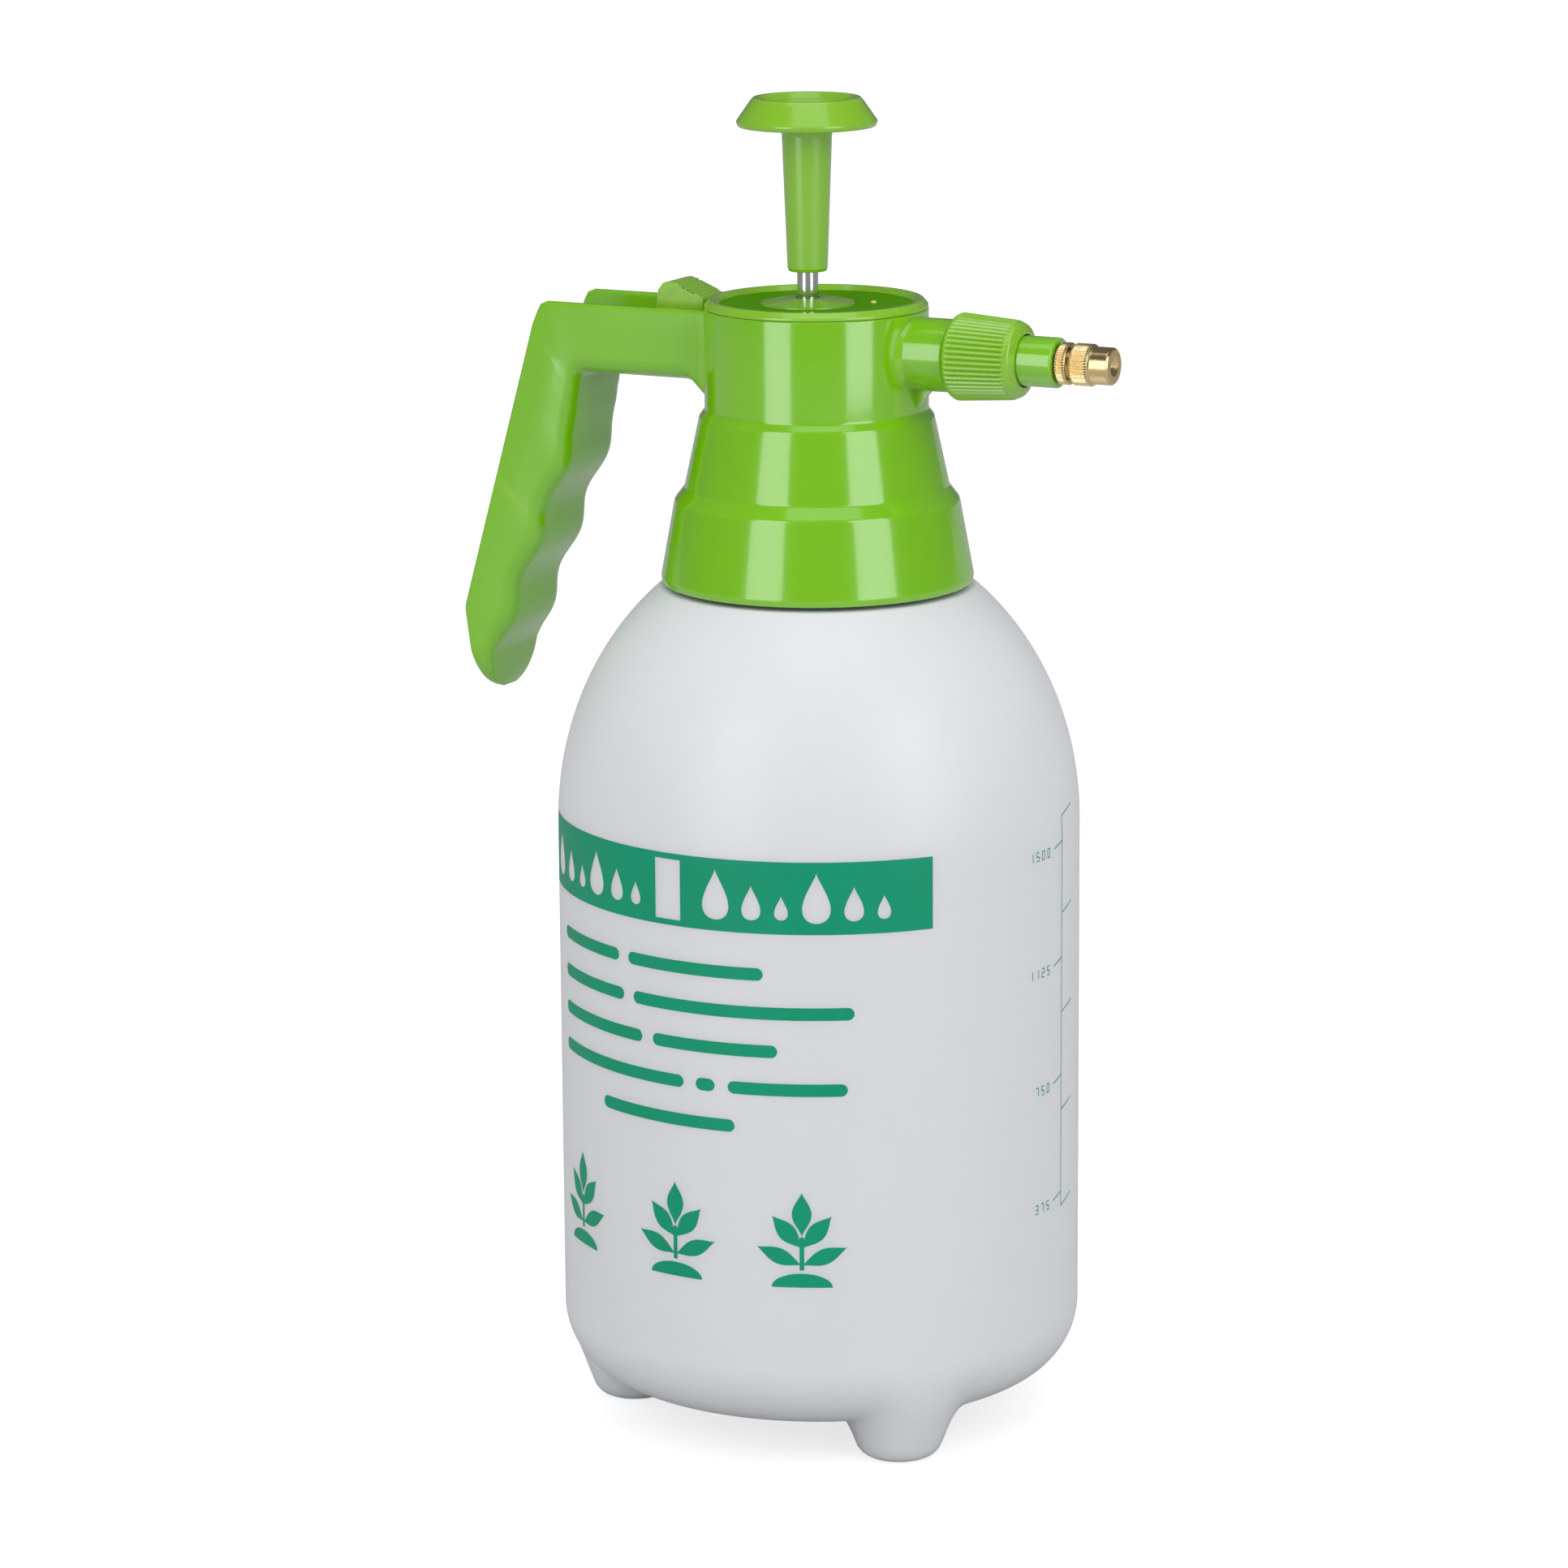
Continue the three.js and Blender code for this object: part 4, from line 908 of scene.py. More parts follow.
SPRIG_FOOT = 50.5
sprigs = []
for degrees in (-128.5, -96.5, -67.5):
    for angle, lift, length, width in ((0, 9.5, 10.5, 4.6), (-42, 6.5, 10.5, 4.2), (42, 6.5, 10.5, 4.2),
                                       (-68, 2.4, 11.5, 3.8), (68, 2.4, 11.5, 3.8)):
        sprigs.append(bent([leaf_outline(degrees, SPRIG_FOOT + lift, angle, length, width)]))
    sprigs.append(bent([box_outline(degrees - 0.5, degrees + 0.5, SPRIG_FOOT + 1.2, SPRIG_FOOT + 9.2)]))
    mound = [(degrees + 7.2 * DEGREES_PER_MM * math.cos(math.pi * i / 16),
              SPRIG_FOOT - 3.0 + 3.4 * math.sin(math.pi * i / 16)) for i in range(17)]
    sprigs.append(bent([mound]))
place("leaf_sprigs", ink_mesh("leaf_sprigs", *sprigs), ink, "bottle", "bottle_plastic")

# %% [markdown]
# The scale is an upright line at the side with slanted ticks: four on its left carry the
# content in millilitres, five on its right are a second, unlabelled ladder. The numbers are
# drawn as seven-stroke figures, so no font is needed.

# %% Measuring scale
SCALE_AT = 3.0
LEFT_TICKS = ((1500, 145.6), (1125, 117.2), (750, 88.5), (375, 59.6))
RIGHT_TICKS = (151.5, 128.0, 103.8, 79.8, 56.0)
LINE_THICK = 0.3
TICK_THICK = 0.32
FIGURE_THICK = 0.28
STROKES = {"0": "abcdef", "1": "bc", "2": "abged", "3": "abgcd", "5": "afgcd", "7": "abc"}


def stroke_bar(start, end, thick):
    """A straight ink line between two points given in degrees and millimetres."""
    ax, az = start[0] / DEGREES_PER_MM, start[1]
    bx, bz = end[0] / DEGREES_PER_MM, end[1]
    run = Vector((bx - ax, bz - az)).normalized()
    off = Vector((-run.y, run.x)) * thick / 2
    corners = [(ax + off.x, az + off.y), (ax - off.x, az - off.y),
               (bx - off.x, bz - off.y), (bx + off.x, bz + off.y)]
    return bent([[(x * DEGREES_PER_MM, z) for x, z in corners]])


def figure(digit, degrees, z, height):
    """One numeral, as straight strokes on a narrow frame."""
    wide = height * 0.5 * DEGREES_PER_MM
    left, right = degrees, degrees + wide
    top, mid, bottom = z + height, z + height / 2, z
    ends = {
        "a": ((left, top), (right, top)),
        "b": ((right, top), (right, mid)),
        "c": ((right, mid), (right, bottom)),
        "d": ((left, bottom), (right, bottom)),
        "e": ((left, mid), (left, bottom)),
        "f": ((left, top), (left, mid)),
        "g": ((left, mid), (right, mid)),
    }
    return [stroke_bar(*ends[s], FIGURE_THICK) for s in STROKES[digit]]


marks = [stroke_bar((SCALE_AT, RIGHT_TICKS[-1]), (SCALE_AT, RIGHT_TICKS[0]), LINE_THICK)]
for value, z in LEFT_TICKS:
    marks.append(stroke_bar((SCALE_AT - 4.2, z - 1.2), (SCALE_AT, z), TICK_THICK))
    for i, digit in enumerate(str(value).rjust(4)):
        if digit != " ":
            marks += figure(digit, SCALE_AT - 14.2 + 2.3 * i, z - 2.6, 2.1)
for z in RIGHT_TICKS:
    marks.append(stroke_bar((SCALE_AT, z), (SCALE_AT + 6.5, z + 1.6), TICK_THICK))
place("measuring_scale", ink_mesh("measuring_scale", *marks), ink, "bottle", "bottle_plastic")

# %% [markdown]
# ## The neck gasket
# A flat rubber ring closes the head on the bottle's rim. It is a turned ring with soft
# corners, and it is seen when the head is lifted off.

# %% Neck gasket
gasket_low = rim_z + 0.3
gasket_high = rim_z + 1.9
gasket = soften([
    (25.4, gasket_low, 0.3), (28.8, gasket_low, 0.3), (28.8, gasket_high, 0.3), (25.4, gasket_high, 0.3),
], closed=True)
place("neck_gasket_ring", turned("neck_gasket_ring", gasket, 96, (bottle_x, 0), closed=True), rubber,
      "neck_gasket", "rubber", "neck_gasket")

# %% [markdown]
# ## The head
# The head is one moulding: a skirt that hides the neck, a cone, a plain cylinder, a hooked
# handle behind and a spigot in front. The turned part carries the look, because its two
# ledges and its steep cones mirror the light boxes. The handle is a channel, open at its
# back, lofted from section to section; the fingers' waves are in the loft's own path.

# %% Turned part of the head
skirt_base = ledge_z + 0.9
web_top = 246.0
HEAD_RADIUS = 26.5
PARTING_RISE = 0.1
head_profile = soften([
    (0, web_top - 2.6), (25.7, web_top - 2.6), (25.7, rim_z + 2.2),
    (29.1, rim_z + 2.2, 0.4), (29.1, skirt_base + 2.6, 0.5),
    (31.1, skirt_base + 2.6, 0.5), (31.1, skirt_base + 15.8, 0.6), (32.2, skirt_base + 15.8, 0.4),
    (35.0, skirt_base + 1.0, 0.4), (35.4, skirt_base, 0.5), (36.9, skirt_base, 0.7),
    (37.15, skirt_base + 1.6, 1.6),
    (33.8, skirt_base + 19.8, 2.4), (31.4, skirt_base + 22.9, 2.0), (27.8, skirt_base + 39.6, 1.8),
    (HEAD_RADIUS, skirt_base + 41.3, 1.4), (HEAD_RADIUS, head_top, 0.35), (24.2, head_top, 0.3),
    (24.2, web_top, 0.6), (0, web_top),
], steps=5)


def parting_line(r, h, angle):
    """Raises the faint line where the mould's two halves met, front and back."""
    away = min(angle % math.pi, math.pi - angle % math.pi)
    raised = PARTING_RISE if away < 0.001 and r > HEAD_RADIUS - 0.1 else 0
    return r + raised, h


head_turned = turned("head_turned", head_profile, 192, (bottle_x, 0), shift=parting_line)
print("head rows:", len(head_profile), "skirt base %.1f" % skirt_base)

# %% [markdown]
# The handle's loft needs two side-view lines that run together: the finger line, from the
# arm's underside round the corner and down the waves, and the back line, along the arm's top,
# round the rear corner and down the back edge. Each pair of points spans one section.

# %% Side-view lines of the handle
ARM_TOP = head_top - 0.9
ARM_BOTTOM = ARM_TOP - 16.8
GRIP_TIP = low("head_housing", 2)
FINGER_TOP = ARM_BOTTOM - 5.6
FACE_START = -58.6
FACE_SLOPE = 0.404
TIP_SLOPE = 0.17
FACE_EASE = 4.0
WAVE_DEPTH = 1.1
WAVE_LENGTH = 19.3
WAVE_PHASE = 17.3
WAVES_BLEND = 10
WAVES_END = 64.6
grip_x = low("head_housing", 0) - bottle_x


def resample(points, count):
    """Spaces points evenly along a line."""
    lengths = [0.0]
    for a, b in zip(points, points[1:]):
        lengths.append(lengths[-1] + math.dist(a, b))
    out = []
    for i in range(count):
        want = lengths[-1] * i / (count - 1)
        k = 1
        while k < len(lengths) - 1 and lengths[k] < want:
            k += 1
        share = (want - lengths[k - 1]) / max(lengths[k] - lengths[k - 1], 1e-9)
        a, b = points[k - 1], points[k]
        out.append((a[0] + (b[0] - a[0]) * share, a[1] + (b[1] - a[1]) * share))
    return out


def finger_x(z):
    """The wavy finger face below the corner."""
    down = FINGER_TOP - z
    waved = min(down, WAVES_END)
    held = min(1.0, waved / WAVES_BLEND)
    held = held * held * (3 - 2 * held)
    wave = WAVE_DEPTH * (math.cos(2 * math.pi * (waved - WAVE_PHASE) / WAVE_LENGTH) - 1)
    lean = FACE_SLOPE * waved + TIP_SLOPE * (down - waved)
    return FACE_START - lean + (wave + FACE_EASE) * held


arm_line = resample([(-20.0, ARM_BOTTOM - 4.6), (-23.4, ARM_BOTTOM - 4.6), (-27.6, ARM_BOTTOM - 0.4),
                     (-29.4, ARM_BOTTOM), (-53.4, ARM_BOTTOM)], 20)
corner_end = (finger_x(FINGER_TOP - 0.1), FINGER_TOP - 0.1)
corner_line = soften([(-53.4, ARM_BOTTOM), (-57.9, ARM_BOTTOM, 4.2), corner_end], steps=9)
FACE_SECTIONS = 90
face_high = FINGER_TOP - 0.4
face_drop = face_high - (GRIP_TIP + 0.35)
face_heights = [face_high - i * face_drop / (FACE_SECTIONS - 1) for i in range(FACE_SECTIONS)]
face_line = [(finger_x(z), z) for z in face_heights]
arm_back = resample([(-20.0, ARM_TOP), (-53.4, ARM_TOP)], 20)
rear_corner = soften([(-53.4, ARM_TOP), (-67.2, ARM_TOP, 2.2), (-69.6, ARM_TOP - 5.4)], steps=8)
corner_back = resample(rear_corner, len(corner_line))
back_edge = soften([
    (-69.6, ARM_TOP - 5.4), (-89.75, GRIP_TIP + 21.2, 6), (-88.2, GRIP_TIP + 10.0, 4),
    (-86.6, GRIP_TIP + 2.6, 2), (-85.4, GRIP_TIP + 0.05),
], steps=6)
face_back = resample(back_edge, len(face_line))
finger_side = arm_line + corner_line[1:] + face_line
back_side = arm_back + corner_back[1:] + face_back
rearmost = min(p[0] for p in back_side)
print("handle sections:", len(finger_side), "rearmost %.1f, node %.1f" % (rearmost, grip_x))

# %% [markdown]
# A section is a U: two side walls joined by the finger face, with round outer corners, soft
# lips along its open edge, and an even wall inside. Near the foot the channel runs out into
# solid plastic, and the width closes in an elliptic tip.

# %% Handle loft
GRIP_HALF = 13.0
GRIP_WALL = 2.5
TIP_RISE = 12.2


def handle_section(width, depth, wall, corner):
    """A U section as (sideways, depth) points, from one outer lip round to the inner one."""
    inner = max(width - wall, 0.4)
    room = min(wall, depth - 0.8)
    return soften([
        (-width, depth, 0.9), (-width, 0, corner), (width, 0, corner), (width, depth, 0.9),
        (inner, depth, 0.9), (inner, room, 2.2), (-inner, room, 2.2), (-inner, depth, 0.9),
    ], steps=7, closed=True)


handle_verts = []
handle_faces = []
for finger, rear in zip(finger_side, back_side):
    depth = math.dist(finger, rear)
    along = ((rear[0] - finger[0]) / depth, (rear[1] - finger[1]) / depth)
    above_tip = (finger[1] + rear[1]) / 2 - GRIP_TIP
    width = GRIP_HALF
    closing = min(1.0, max(0.0, (20.0 - above_tip) / 9))
    wall = GRIP_WALL + (depth - GRIP_WALL - 0.8) * closing * closing * (3 - 2 * closing)
    side_wall = min(GRIP_WALL, width * 0.4)
    section = handle_section(width, depth, side_wall, min(4.4, width * 0.6, depth * 0.45))
    room_depth = min(side_wall, depth - 0.8)
    for s, d in section:
        if abs(s) <= width - side_wall + 0.001 and room_depth - 0.01 < d < depth - 0.95:
            d = min(depth - 0.5, d + wall - room_depth)
        z = finger[1] + along[1] * d
        narrowing = 1.0
        if z < GRIP_TIP + TIP_RISE:
            narrowing = math.sqrt(max(0.0004, 1 - (1 - (z - GRIP_TIP) / TIP_RISE) ** 2))
        handle_verts.append((bottle_x + finger[0] + along[0] * d, s * narrowing, z))
per = len(section)
count = len(finger_side)
for i in range(count - 1):
    for k in range(per):
        a = i * per + k
        b = i * per + (k + 1) % per
        handle_faces.append((a, b, b + per, a + per))
handle_faces.append(tuple(range(per)))
handle_faces.append(tuple(reversed(range((count - 1) * per, count * per))))
handle_mesh = finish_mesh("handle", handle_verts, handle_faces)
print("handle points:", len(handle_mesh.vertices))

# %% [markdown]
# The spigot is a short turned bar that lies along X, with a soft root where it leaves the
# cylinder, a faint collar, and a fine thread under the union nut. A small web braces it from
# below. All of these are joined to the turned part, and then the bores are cut.

# %% Spigot, brace and bores
SPIGOT_COLLAR = 36.0
SPIGOT_END = 48.0


def spigot_thread(r, h, angle):
    if h < SPIGOT_COLLAR + 1.2 or h > SPIGOT_END - 0.4 or r < 6:
        return r, h
    phase = (h - angle / (2 * math.pi) * 2.5) / 2.5 % 1
    return r - 0.7 * min(1.0, max(0.0, 2.6 * abs(phase - 0.5) - 0.25)), h


spigot_profile = soften([(0, 20.0), (9.4, 20.0), (9.4, 24.6), (8.58, 26.6, 1.8), (8.58, SPIGOT_COLLAR, 0.4),
                         (8.05, SPIGOT_COLLAR + 0.6, 0.2)], steps=5)
spigot_profile += [(8.05, SPIGOT_COLLAR + 1 + (SPIGOT_END - SPIGOT_COLLAR - 1.6) * i / 40) for i in range(41)]
spigot_profile += soften([
    (8.05, SPIGOT_END - 0.5), (7.7, SPIGOT_END, 0.2), (5.0, SPIGOT_END, 0.2), (5.0, 22.0), (0, 22.0),
])
spigot = turned("spigot", spigot_profile, 96, (bottle_x, nozzle_z), lying=True, shift=spigot_thread, sharp=30)
brace_verts = []
for y in (-1.0, 1.0):
    for x, z in ((24.5, -13.1), (26.2, -13.1), (31.2, -7.2), (24.5, -7.2)):
        brace_verts.append((bottle_x + x, y, nozzle_z + z))
brace_faces = [(0, 1, 2, 3), (7, 6, 5, 4), (0, 4, 5, 1), (1, 5, 6, 2), (2, 6, 7, 3), (3, 7, 4, 0)]
brace = finish_mesh("brace", brace_verts, brace_faces)
pin_x = middle("trigger_pin", 0)
pin_z = middle("trigger_pin", 2)
pin_hole = turned("hole", [(0, -11.7), (1.8, -11.7), (1.8, 11.7), (0, 11.7)], 32, (0, 0))
pin_hole.transform(Matrix.Translation((pin_x * MM, 0, pin_z * MM)) @ Matrix.Rotation(math.pi / 2, 4, "X"))
tube_x = middle("suction_tube", 0)
tube_y = middle("suction_tube", 1)
head_mesh = combine(
    head_turned,
    ("UNION", handle_mesh),
    ("UNION", spigot),
    ("UNION", brace),
    ("DIFFERENCE", drum(24.2, web_top, head_top + 2, (bottle_x, 0), columns=192)),
    ("DIFFERENCE", drum(14.3, web_top - 4, web_top + 2, (pump_x, 0), columns=96)),
    ("DIFFERENCE", drum(2.8, web_top - 4, web_top + 2, (tube_x, tube_y))),
    ("DIFFERENCE", drum(4.9, 20.0, 40.0, (bottle_x, nozzle_z), lying=True)),
    ("DIFFERENCE", drum(2.3, -31.0, -22.0, (bottle_x, middle("valve_body", 2) - 0.1), lying=True)),
    ("DIFFERENCE", pin_hole),
)
head = place("head_moulding", head_mesh, green_plastic, "head", "green_plastic", "head_housing")
head_bevel = head.modifiers.new("soft edges", "BEVEL")
head_bevel.width = 0.35 * MM
head_bevel.segments = 2
head_bevel.limit_method = "ANGLE"
head_bevel.angle_limit = math.radians(40)

# %% [markdown]
# ## The cap
# The cap drops into the head's top and holds the pump down. Its rim is bevelled, its face is
# a shallow dish, and a low cone round the rod guides it. Two fine radial ridges and a small
# moulding stub break the dish, as on the real one.

# %% Cap
CAP_RADIUS = 26.4
cap_top = high("top_cap", 2) - 0.2
cap_seat = head_top + 0.3
cap_edge = head_top + 0.1
dish_z = cap_top - 1.3
cap_profile = soften([
    (0, cap_seat + 0.2), (22.2, cap_seat + 0.2), (22.2, head_top - 4), (23.85, head_top - 4, 0.3),
    (23.85, cap_edge),
    (CAP_RADIUS, cap_edge, 0.12), (CAP_RADIUS, cap_top - 1.3, 0.4), (CAP_RADIUS - 1.15, cap_top, 0.35),
    (CAP_RADIUS - 2.4, cap_top, 0.4), (CAP_RADIUS - 3.5, dish_z, 0.6), (0, dish_z),
], steps=5)
boss_profile = soften([
    (2.8, cap_seat - 5.5), (2.8, dish_z + 1.55, 0.25), (4.7, dish_z + 1.5, 0.5),
    (11.1, dish_z + 0.3, 0.3), (11.3, dish_z - 0.5),
    (9.0, dish_z - 0.8), (9.0, cap_seat - 5.5),
], steps=5, closed=True)
cap_mesh = combine(
    turned("cap", cap_profile, 192, (bottle_x, 0)),
    ("DIFFERENCE", drum(10.0, cap_seat - 8, cap_top + 3, (pump_x, 0), columns=96)),
    ("UNION", turned("boss", boss_profile, 96, (pump_x, 0), closed=True)),
)
# The cap takes the paler green, which is painted light.
cap = place("cap", cap_mesh, pale_green_painted_light, "head", "green_plastic", "top_cap")
# The dish's upward faces take the darker copy of the green, which is painted shade.
cap.data.materials.append(dish_painted_shade)
dished = 0
for face in cap.data.polygons:
    if (dish_z - 0.2) * MM < face.center.z < (dish_z + 0.5) * MM and face.normal.z > 0.8:
        face.material_index = 1
        dished += 1
print("faces in the dish:", dished)

RIDGE_ANGLES = (28, 118)
ridge_tool = bmesh.new()
for degrees in RIDGE_ANGLES:
    a = math.radians(degrees)
    run = Vector((math.cos(a), math.sin(a), 0))
    off = Vector((-run.y, run.x, 0)) * 0.18
    start = Vector((pump_x, 0, 0)) + run * 11.6
    end = Vector((pump_x, 0, 0)) + run * 19.5
    rows = []
    for point in (start, end):
        rows.append([ridge_tool.verts.new((point + off * k + Vector((0, 0, dish_z + h))) * MM)
                     for k, h in ((-1, -0.1), (-0.4, 0.14), (0.4, 0.14), (1, -0.1))])
    for k in range(3):
        ridge_tool.faces.new((rows[0][k], rows[0][k + 1], rows[1][k + 1], rows[1][k]))
bmesh.ops.recalc_face_normals(ridge_tool, faces=ridge_tool.faces)
ridge_mesh = bpy.data.meshes.new("cap_ridges")
ridge_tool.to_mesh(ridge_mesh)
ridge_tool.free()
# The ridges take the same darker green, which is painted shade.
place("cap_ridges", ridge_mesh, dish_painted_shade, "head", "green_plastic")

GATE_CIRCLE = 15.5
gate_angle = math.radians(RIDGE_ANGLES[0])
gate_x = pump_x + GATE_CIRCLE * math.cos(gate_angle)
gate_y = GATE_CIRCLE * math.sin(gate_angle)
gate_low = dish_z - 0.1
gate_profile = soften([(0, gate_low), (0.75, gate_low), (0.6, gate_low + 0.55, 0.25), (0, gate_low + 0.6)])
gate_mesh = turned("gate_mark", gate_profile, 24, (gate_x, gate_y))
place("gate_mark", gate_mesh, gate_plastic, "head", "green_plastic")

# %% [markdown]
# ## The pump
# A white barrel hangs from the head into the bottle. A bright rod runs out of it through the
# cap to a green knob, which is a hollow cone with a dished top on a tapered stem. The knob
# is turned as one profile; its faint draft angle and its soft rims make it read as moulded.

# %% Knob and rod
stem_z = low("pump_knob", 2)
knob_top = high("pump_knob", 2)
knob_z = knob_top - 6.8
knob_profile = soften([
    (0, stem_z + 23.9), (2.75, stem_z + 23.9), (2.75, stem_z, 0.3), (4.5, stem_z, 0.5),
    (4.75, stem_z + 0.8, 0.5), (5.9, knob_z - 2.0, 2.0), (7.2, knob_z + 2.6, 0.8),
    (14.2, knob_z + 1.0, 0.4), (14.9, knob_z, 0.3), (16.2, knob_z, 0.5),
    (16.65, knob_z + 1.2, 0.7), (13.3, knob_top - 0.8, 0.7), (12.6, knob_top, 0.35), (11.3, knob_top, 0.4),
    (10.3, knob_top - 1.55, 0.7), (0, knob_top - 1.6),
], steps=5)
knob_mesh = turned("knob", knob_profile, 144, (pump_x, 0))
# The knob takes the paler green, which is painted light.
place("knob", knob_mesh, pale_green_painted_light, "pump_handle", "green_plastic", "pump_knob")
rod_low = low("pump_rod", 2)
rod_top = high("pump_rod", 2)
rod_profile = soften([
    (0, rod_low), (2.48, rod_low, 0.3), (2.48, rod_top - 0.8, 0.3), (1.7, rod_top, 0.2), (0, rod_top),
])
place("rod", turned("rod", rod_profile, 72, (pump_x, 0)), chrome_metal, "pump_handle", "steel", "pump_rod")

# %% [markdown]
# The barrel, its flap and the suction parts are seen when the head is lifted. They are plain
# turned shapes, made round and soft-edged so that they hold up close.

# %% Barrel and suction parts
barrel_low = low("pump_barrel", 2)
barrel_top = high("pump_barrel", 2)
barrel_profile = soften([
    (0, barrel_low + 4), (12.5, barrel_low + 4, 0.6), (12.5, barrel_low, 0.2),
    (13.95, barrel_low, 0.3), (13.95, web_top + 2.0, 0.3), (16.0, web_top + 2.0, 0.3),
    (16.0, web_top + 4.0, 0.3), (13.95, web_top + 4.0, 0.3), (13.95, barrel_top, 0.3),
    (12.5, barrel_top, 0.3), (12.5, barrel_low + 6, 0.6), (0, barrel_low + 6),
])
barrel_mesh = turned("barrel", barrel_profile, 120, (pump_x, 0))
vents = []
for degrees in (45, 135, 225, 315):
    a = math.radians(degrees)
    vents.append(("DIFFERENCE", drum(1.1, barrel_low + 2, barrel_low + 8,
                                     (pump_x + 5 * math.cos(a), 5 * math.sin(a)), columns=24)))
vents.append(("DIFFERENCE", drum(2.4, barrel_low + 2, barrel_low + 8, (pump_x, 0), columns=32)))
place("barrel", combine(barrel_mesh, *vents), white_plastic, "head", "white_plastic", "pump_barrel")

flap_low = low("check_valve", 2)
flap_profile = soften([
    (0, flap_low), (4, flap_low + 0.2, 1), (7.3, flap_low + 1.5, 0.4),
    (7.3, flap_low + 2.2, 0.2), (2.1, flap_low + 2.2, 0.2),
    (2.1, flap_low + 4.8, 0.2), (3.2, flap_low + 5.2, 0.3), (1.2, flap_low + 5.5, 0.4), (0, flap_low + 5.7),
])
place("flap", turned("flap", flap_profile, 64, (pump_x, 0)), rubber, "head", "rubber", "check_valve")

tube_low = low("suction_tube", 2)
tube_top = high("suction_tube", 2)
tube_profile = soften([
    (1.7, tube_low, 0.1), (2.48, tube_low, 0.1), (2.48, tube_top, 0.1), (1.7, tube_top, 0.1),
], closed=True)
place("suction_hose", turned("suction_hose", tube_profile, 40, (tube_x, tube_y), closed=True), hose_plastic,
      "head", "clear_hose", "suction_tube")

filter_low = low("suction_filter", 2)
filter_profile = soften([
    (0, filter_low), (3.35, filter_low, 0.4), (3.35, filter_low + 11, 0.8),
    (3.1, filter_low + 15, 0.2), (2.8, filter_low + 15),
    (2.8, filter_low + 3.7), (2.6, filter_low + 1), (0, filter_low + 1),
])
filter_mesh = turned("filter", filter_profile, 48, (tube_x, tube_y))
slots = []
for degrees in (0, 45, 90, 135):
    tool = bmesh.new()
    bmesh.ops.create_cube(tool, size=1)
    bmesh.ops.scale(tool, vec=(9 * MM, 0.9 * MM, 6 * MM), verts=tool.verts)
    bmesh.ops.rotate(tool, matrix=Matrix.Rotation(math.radians(degrees), 3, "Z"), verts=tool.verts)
    bmesh.ops.translate(tool, vec=(tube_x * MM, tube_y * MM, (filter_low + 5) * MM), verts=tool.verts)
    slot_mesh = bpy.data.meshes.new("slot")
    tool.to_mesh(slot_mesh)
    tool.free()
    slots.append(("DIFFERENCE", slot_mesh))
place("filter", combine(filter_mesh, *slots), white_plastic, "head", "white_plastic", "suction_filter")

# %% [markdown]
# ## The trigger
# A thumb lever lies in the arm's channel and pivots on a steel pin. Its outline is drawn from
# the side and pushed through its width, its edges are bevelled, and shallow cross ridges on
# the top stop the thumb from slipping.

# %% Trigger
trigger_half = (high("trigger", 1) - low("trigger", 1)) / 2
head_back = bottle_x - HEAD_RADIUS - 0.7
trigger_outline = [
    (head_back, pin_z - 0.3), (head_back, head_top + 1.1, 0.8),
    (bottle_x - 35.8, head_top + 4.7, 1.6), (bottle_x - 37.9, head_top + 4.3, 1.2),
    (bottle_x - 39.3, head_top + 2.4, 1.0), (bottle_x - 39.9, head_top - 2.6, 0.8),
    (bottle_x - 38.6, head_top - 3.15, 0.6), (bottle_x - 33.6, head_top - 3.15, 1.0),
    (pin_x - 3.5, pin_z - 0.5, 0.8),
    (pin_x - 1.6, pin_z - 3.05, 0.8), (pin_x + 0.8, pin_z - 3.05, 0.8),
]


def ridged(outline):
    """Adds low ridges to the long sloping top of the trigger."""
    a = Vector(outline[1][:2])
    b = Vector(outline[2][:2])
    run = (b - a).normalized()
    up = Vector((-run.y, run.x)) if run.x < 0 else Vector((run.y, -run.x))
    up = up if up.y > 0 else -up
    points = []
    for i in range(5):
        base = 0.18 + 0.15 * i
        for along, lift in ((0.0, 0.0), (0.03, 0.18), (0.07, 0.18), (0.10, 0.0)):
            p = a + (b - a) * (base + along) + up * lift
            points.append((p.x, p.y, 0.12))
    return outline[:2] + points + outline[2:]


outline = soften(ridged(trigger_outline), steps=3, closed=True)
tool = bmesh.new()
ring = [tool.verts.new((x * MM, -trigger_half * MM, z * MM)) for x, z in outline]
side_face = tool.faces.new(ring)
pushed = bmesh.ops.extrude_face_region(tool, geom=[side_face])
moved = [v for v in pushed["geom"] if isinstance(v, bmesh.types.BMVert)]
bmesh.ops.translate(tool, vec=(0, 2 * trigger_half * MM, 0), verts=moved)
bmesh.ops.recalc_face_normals(tool, faces=tool.faces)
trigger_mesh = bpy.data.meshes.new("trigger")
tool.to_mesh(trigger_mesh)
tool.free()
pivot_hole = turned("hole", [(0, -7), (1.8, -7), (1.8, 7), (0, 7)], 32, (0, 0))
pivot_hole.transform(Matrix.Translation((pin_x * MM, 0, pin_z * MM)) @ Matrix.Rotation(math.pi / 2, 4, "X"))
trigger_mesh = combine(trigger_mesh, ("DIFFERENCE", pivot_hole))
# The trigger takes the paler green, which is painted light.
trigger = place("thumb_trigger", trigger_mesh, pale_green_painted_light, "trigger", "green_plastic", "trigger")
trigger_bevel = trigger.modifiers.new("soft edges", "BEVEL")
trigger_bevel.width = 0.6 * MM
trigger_bevel.segments = 3
trigger_bevel.limit_method = "ANGLE"
trigger_bevel.angle_limit = math.radians(50)
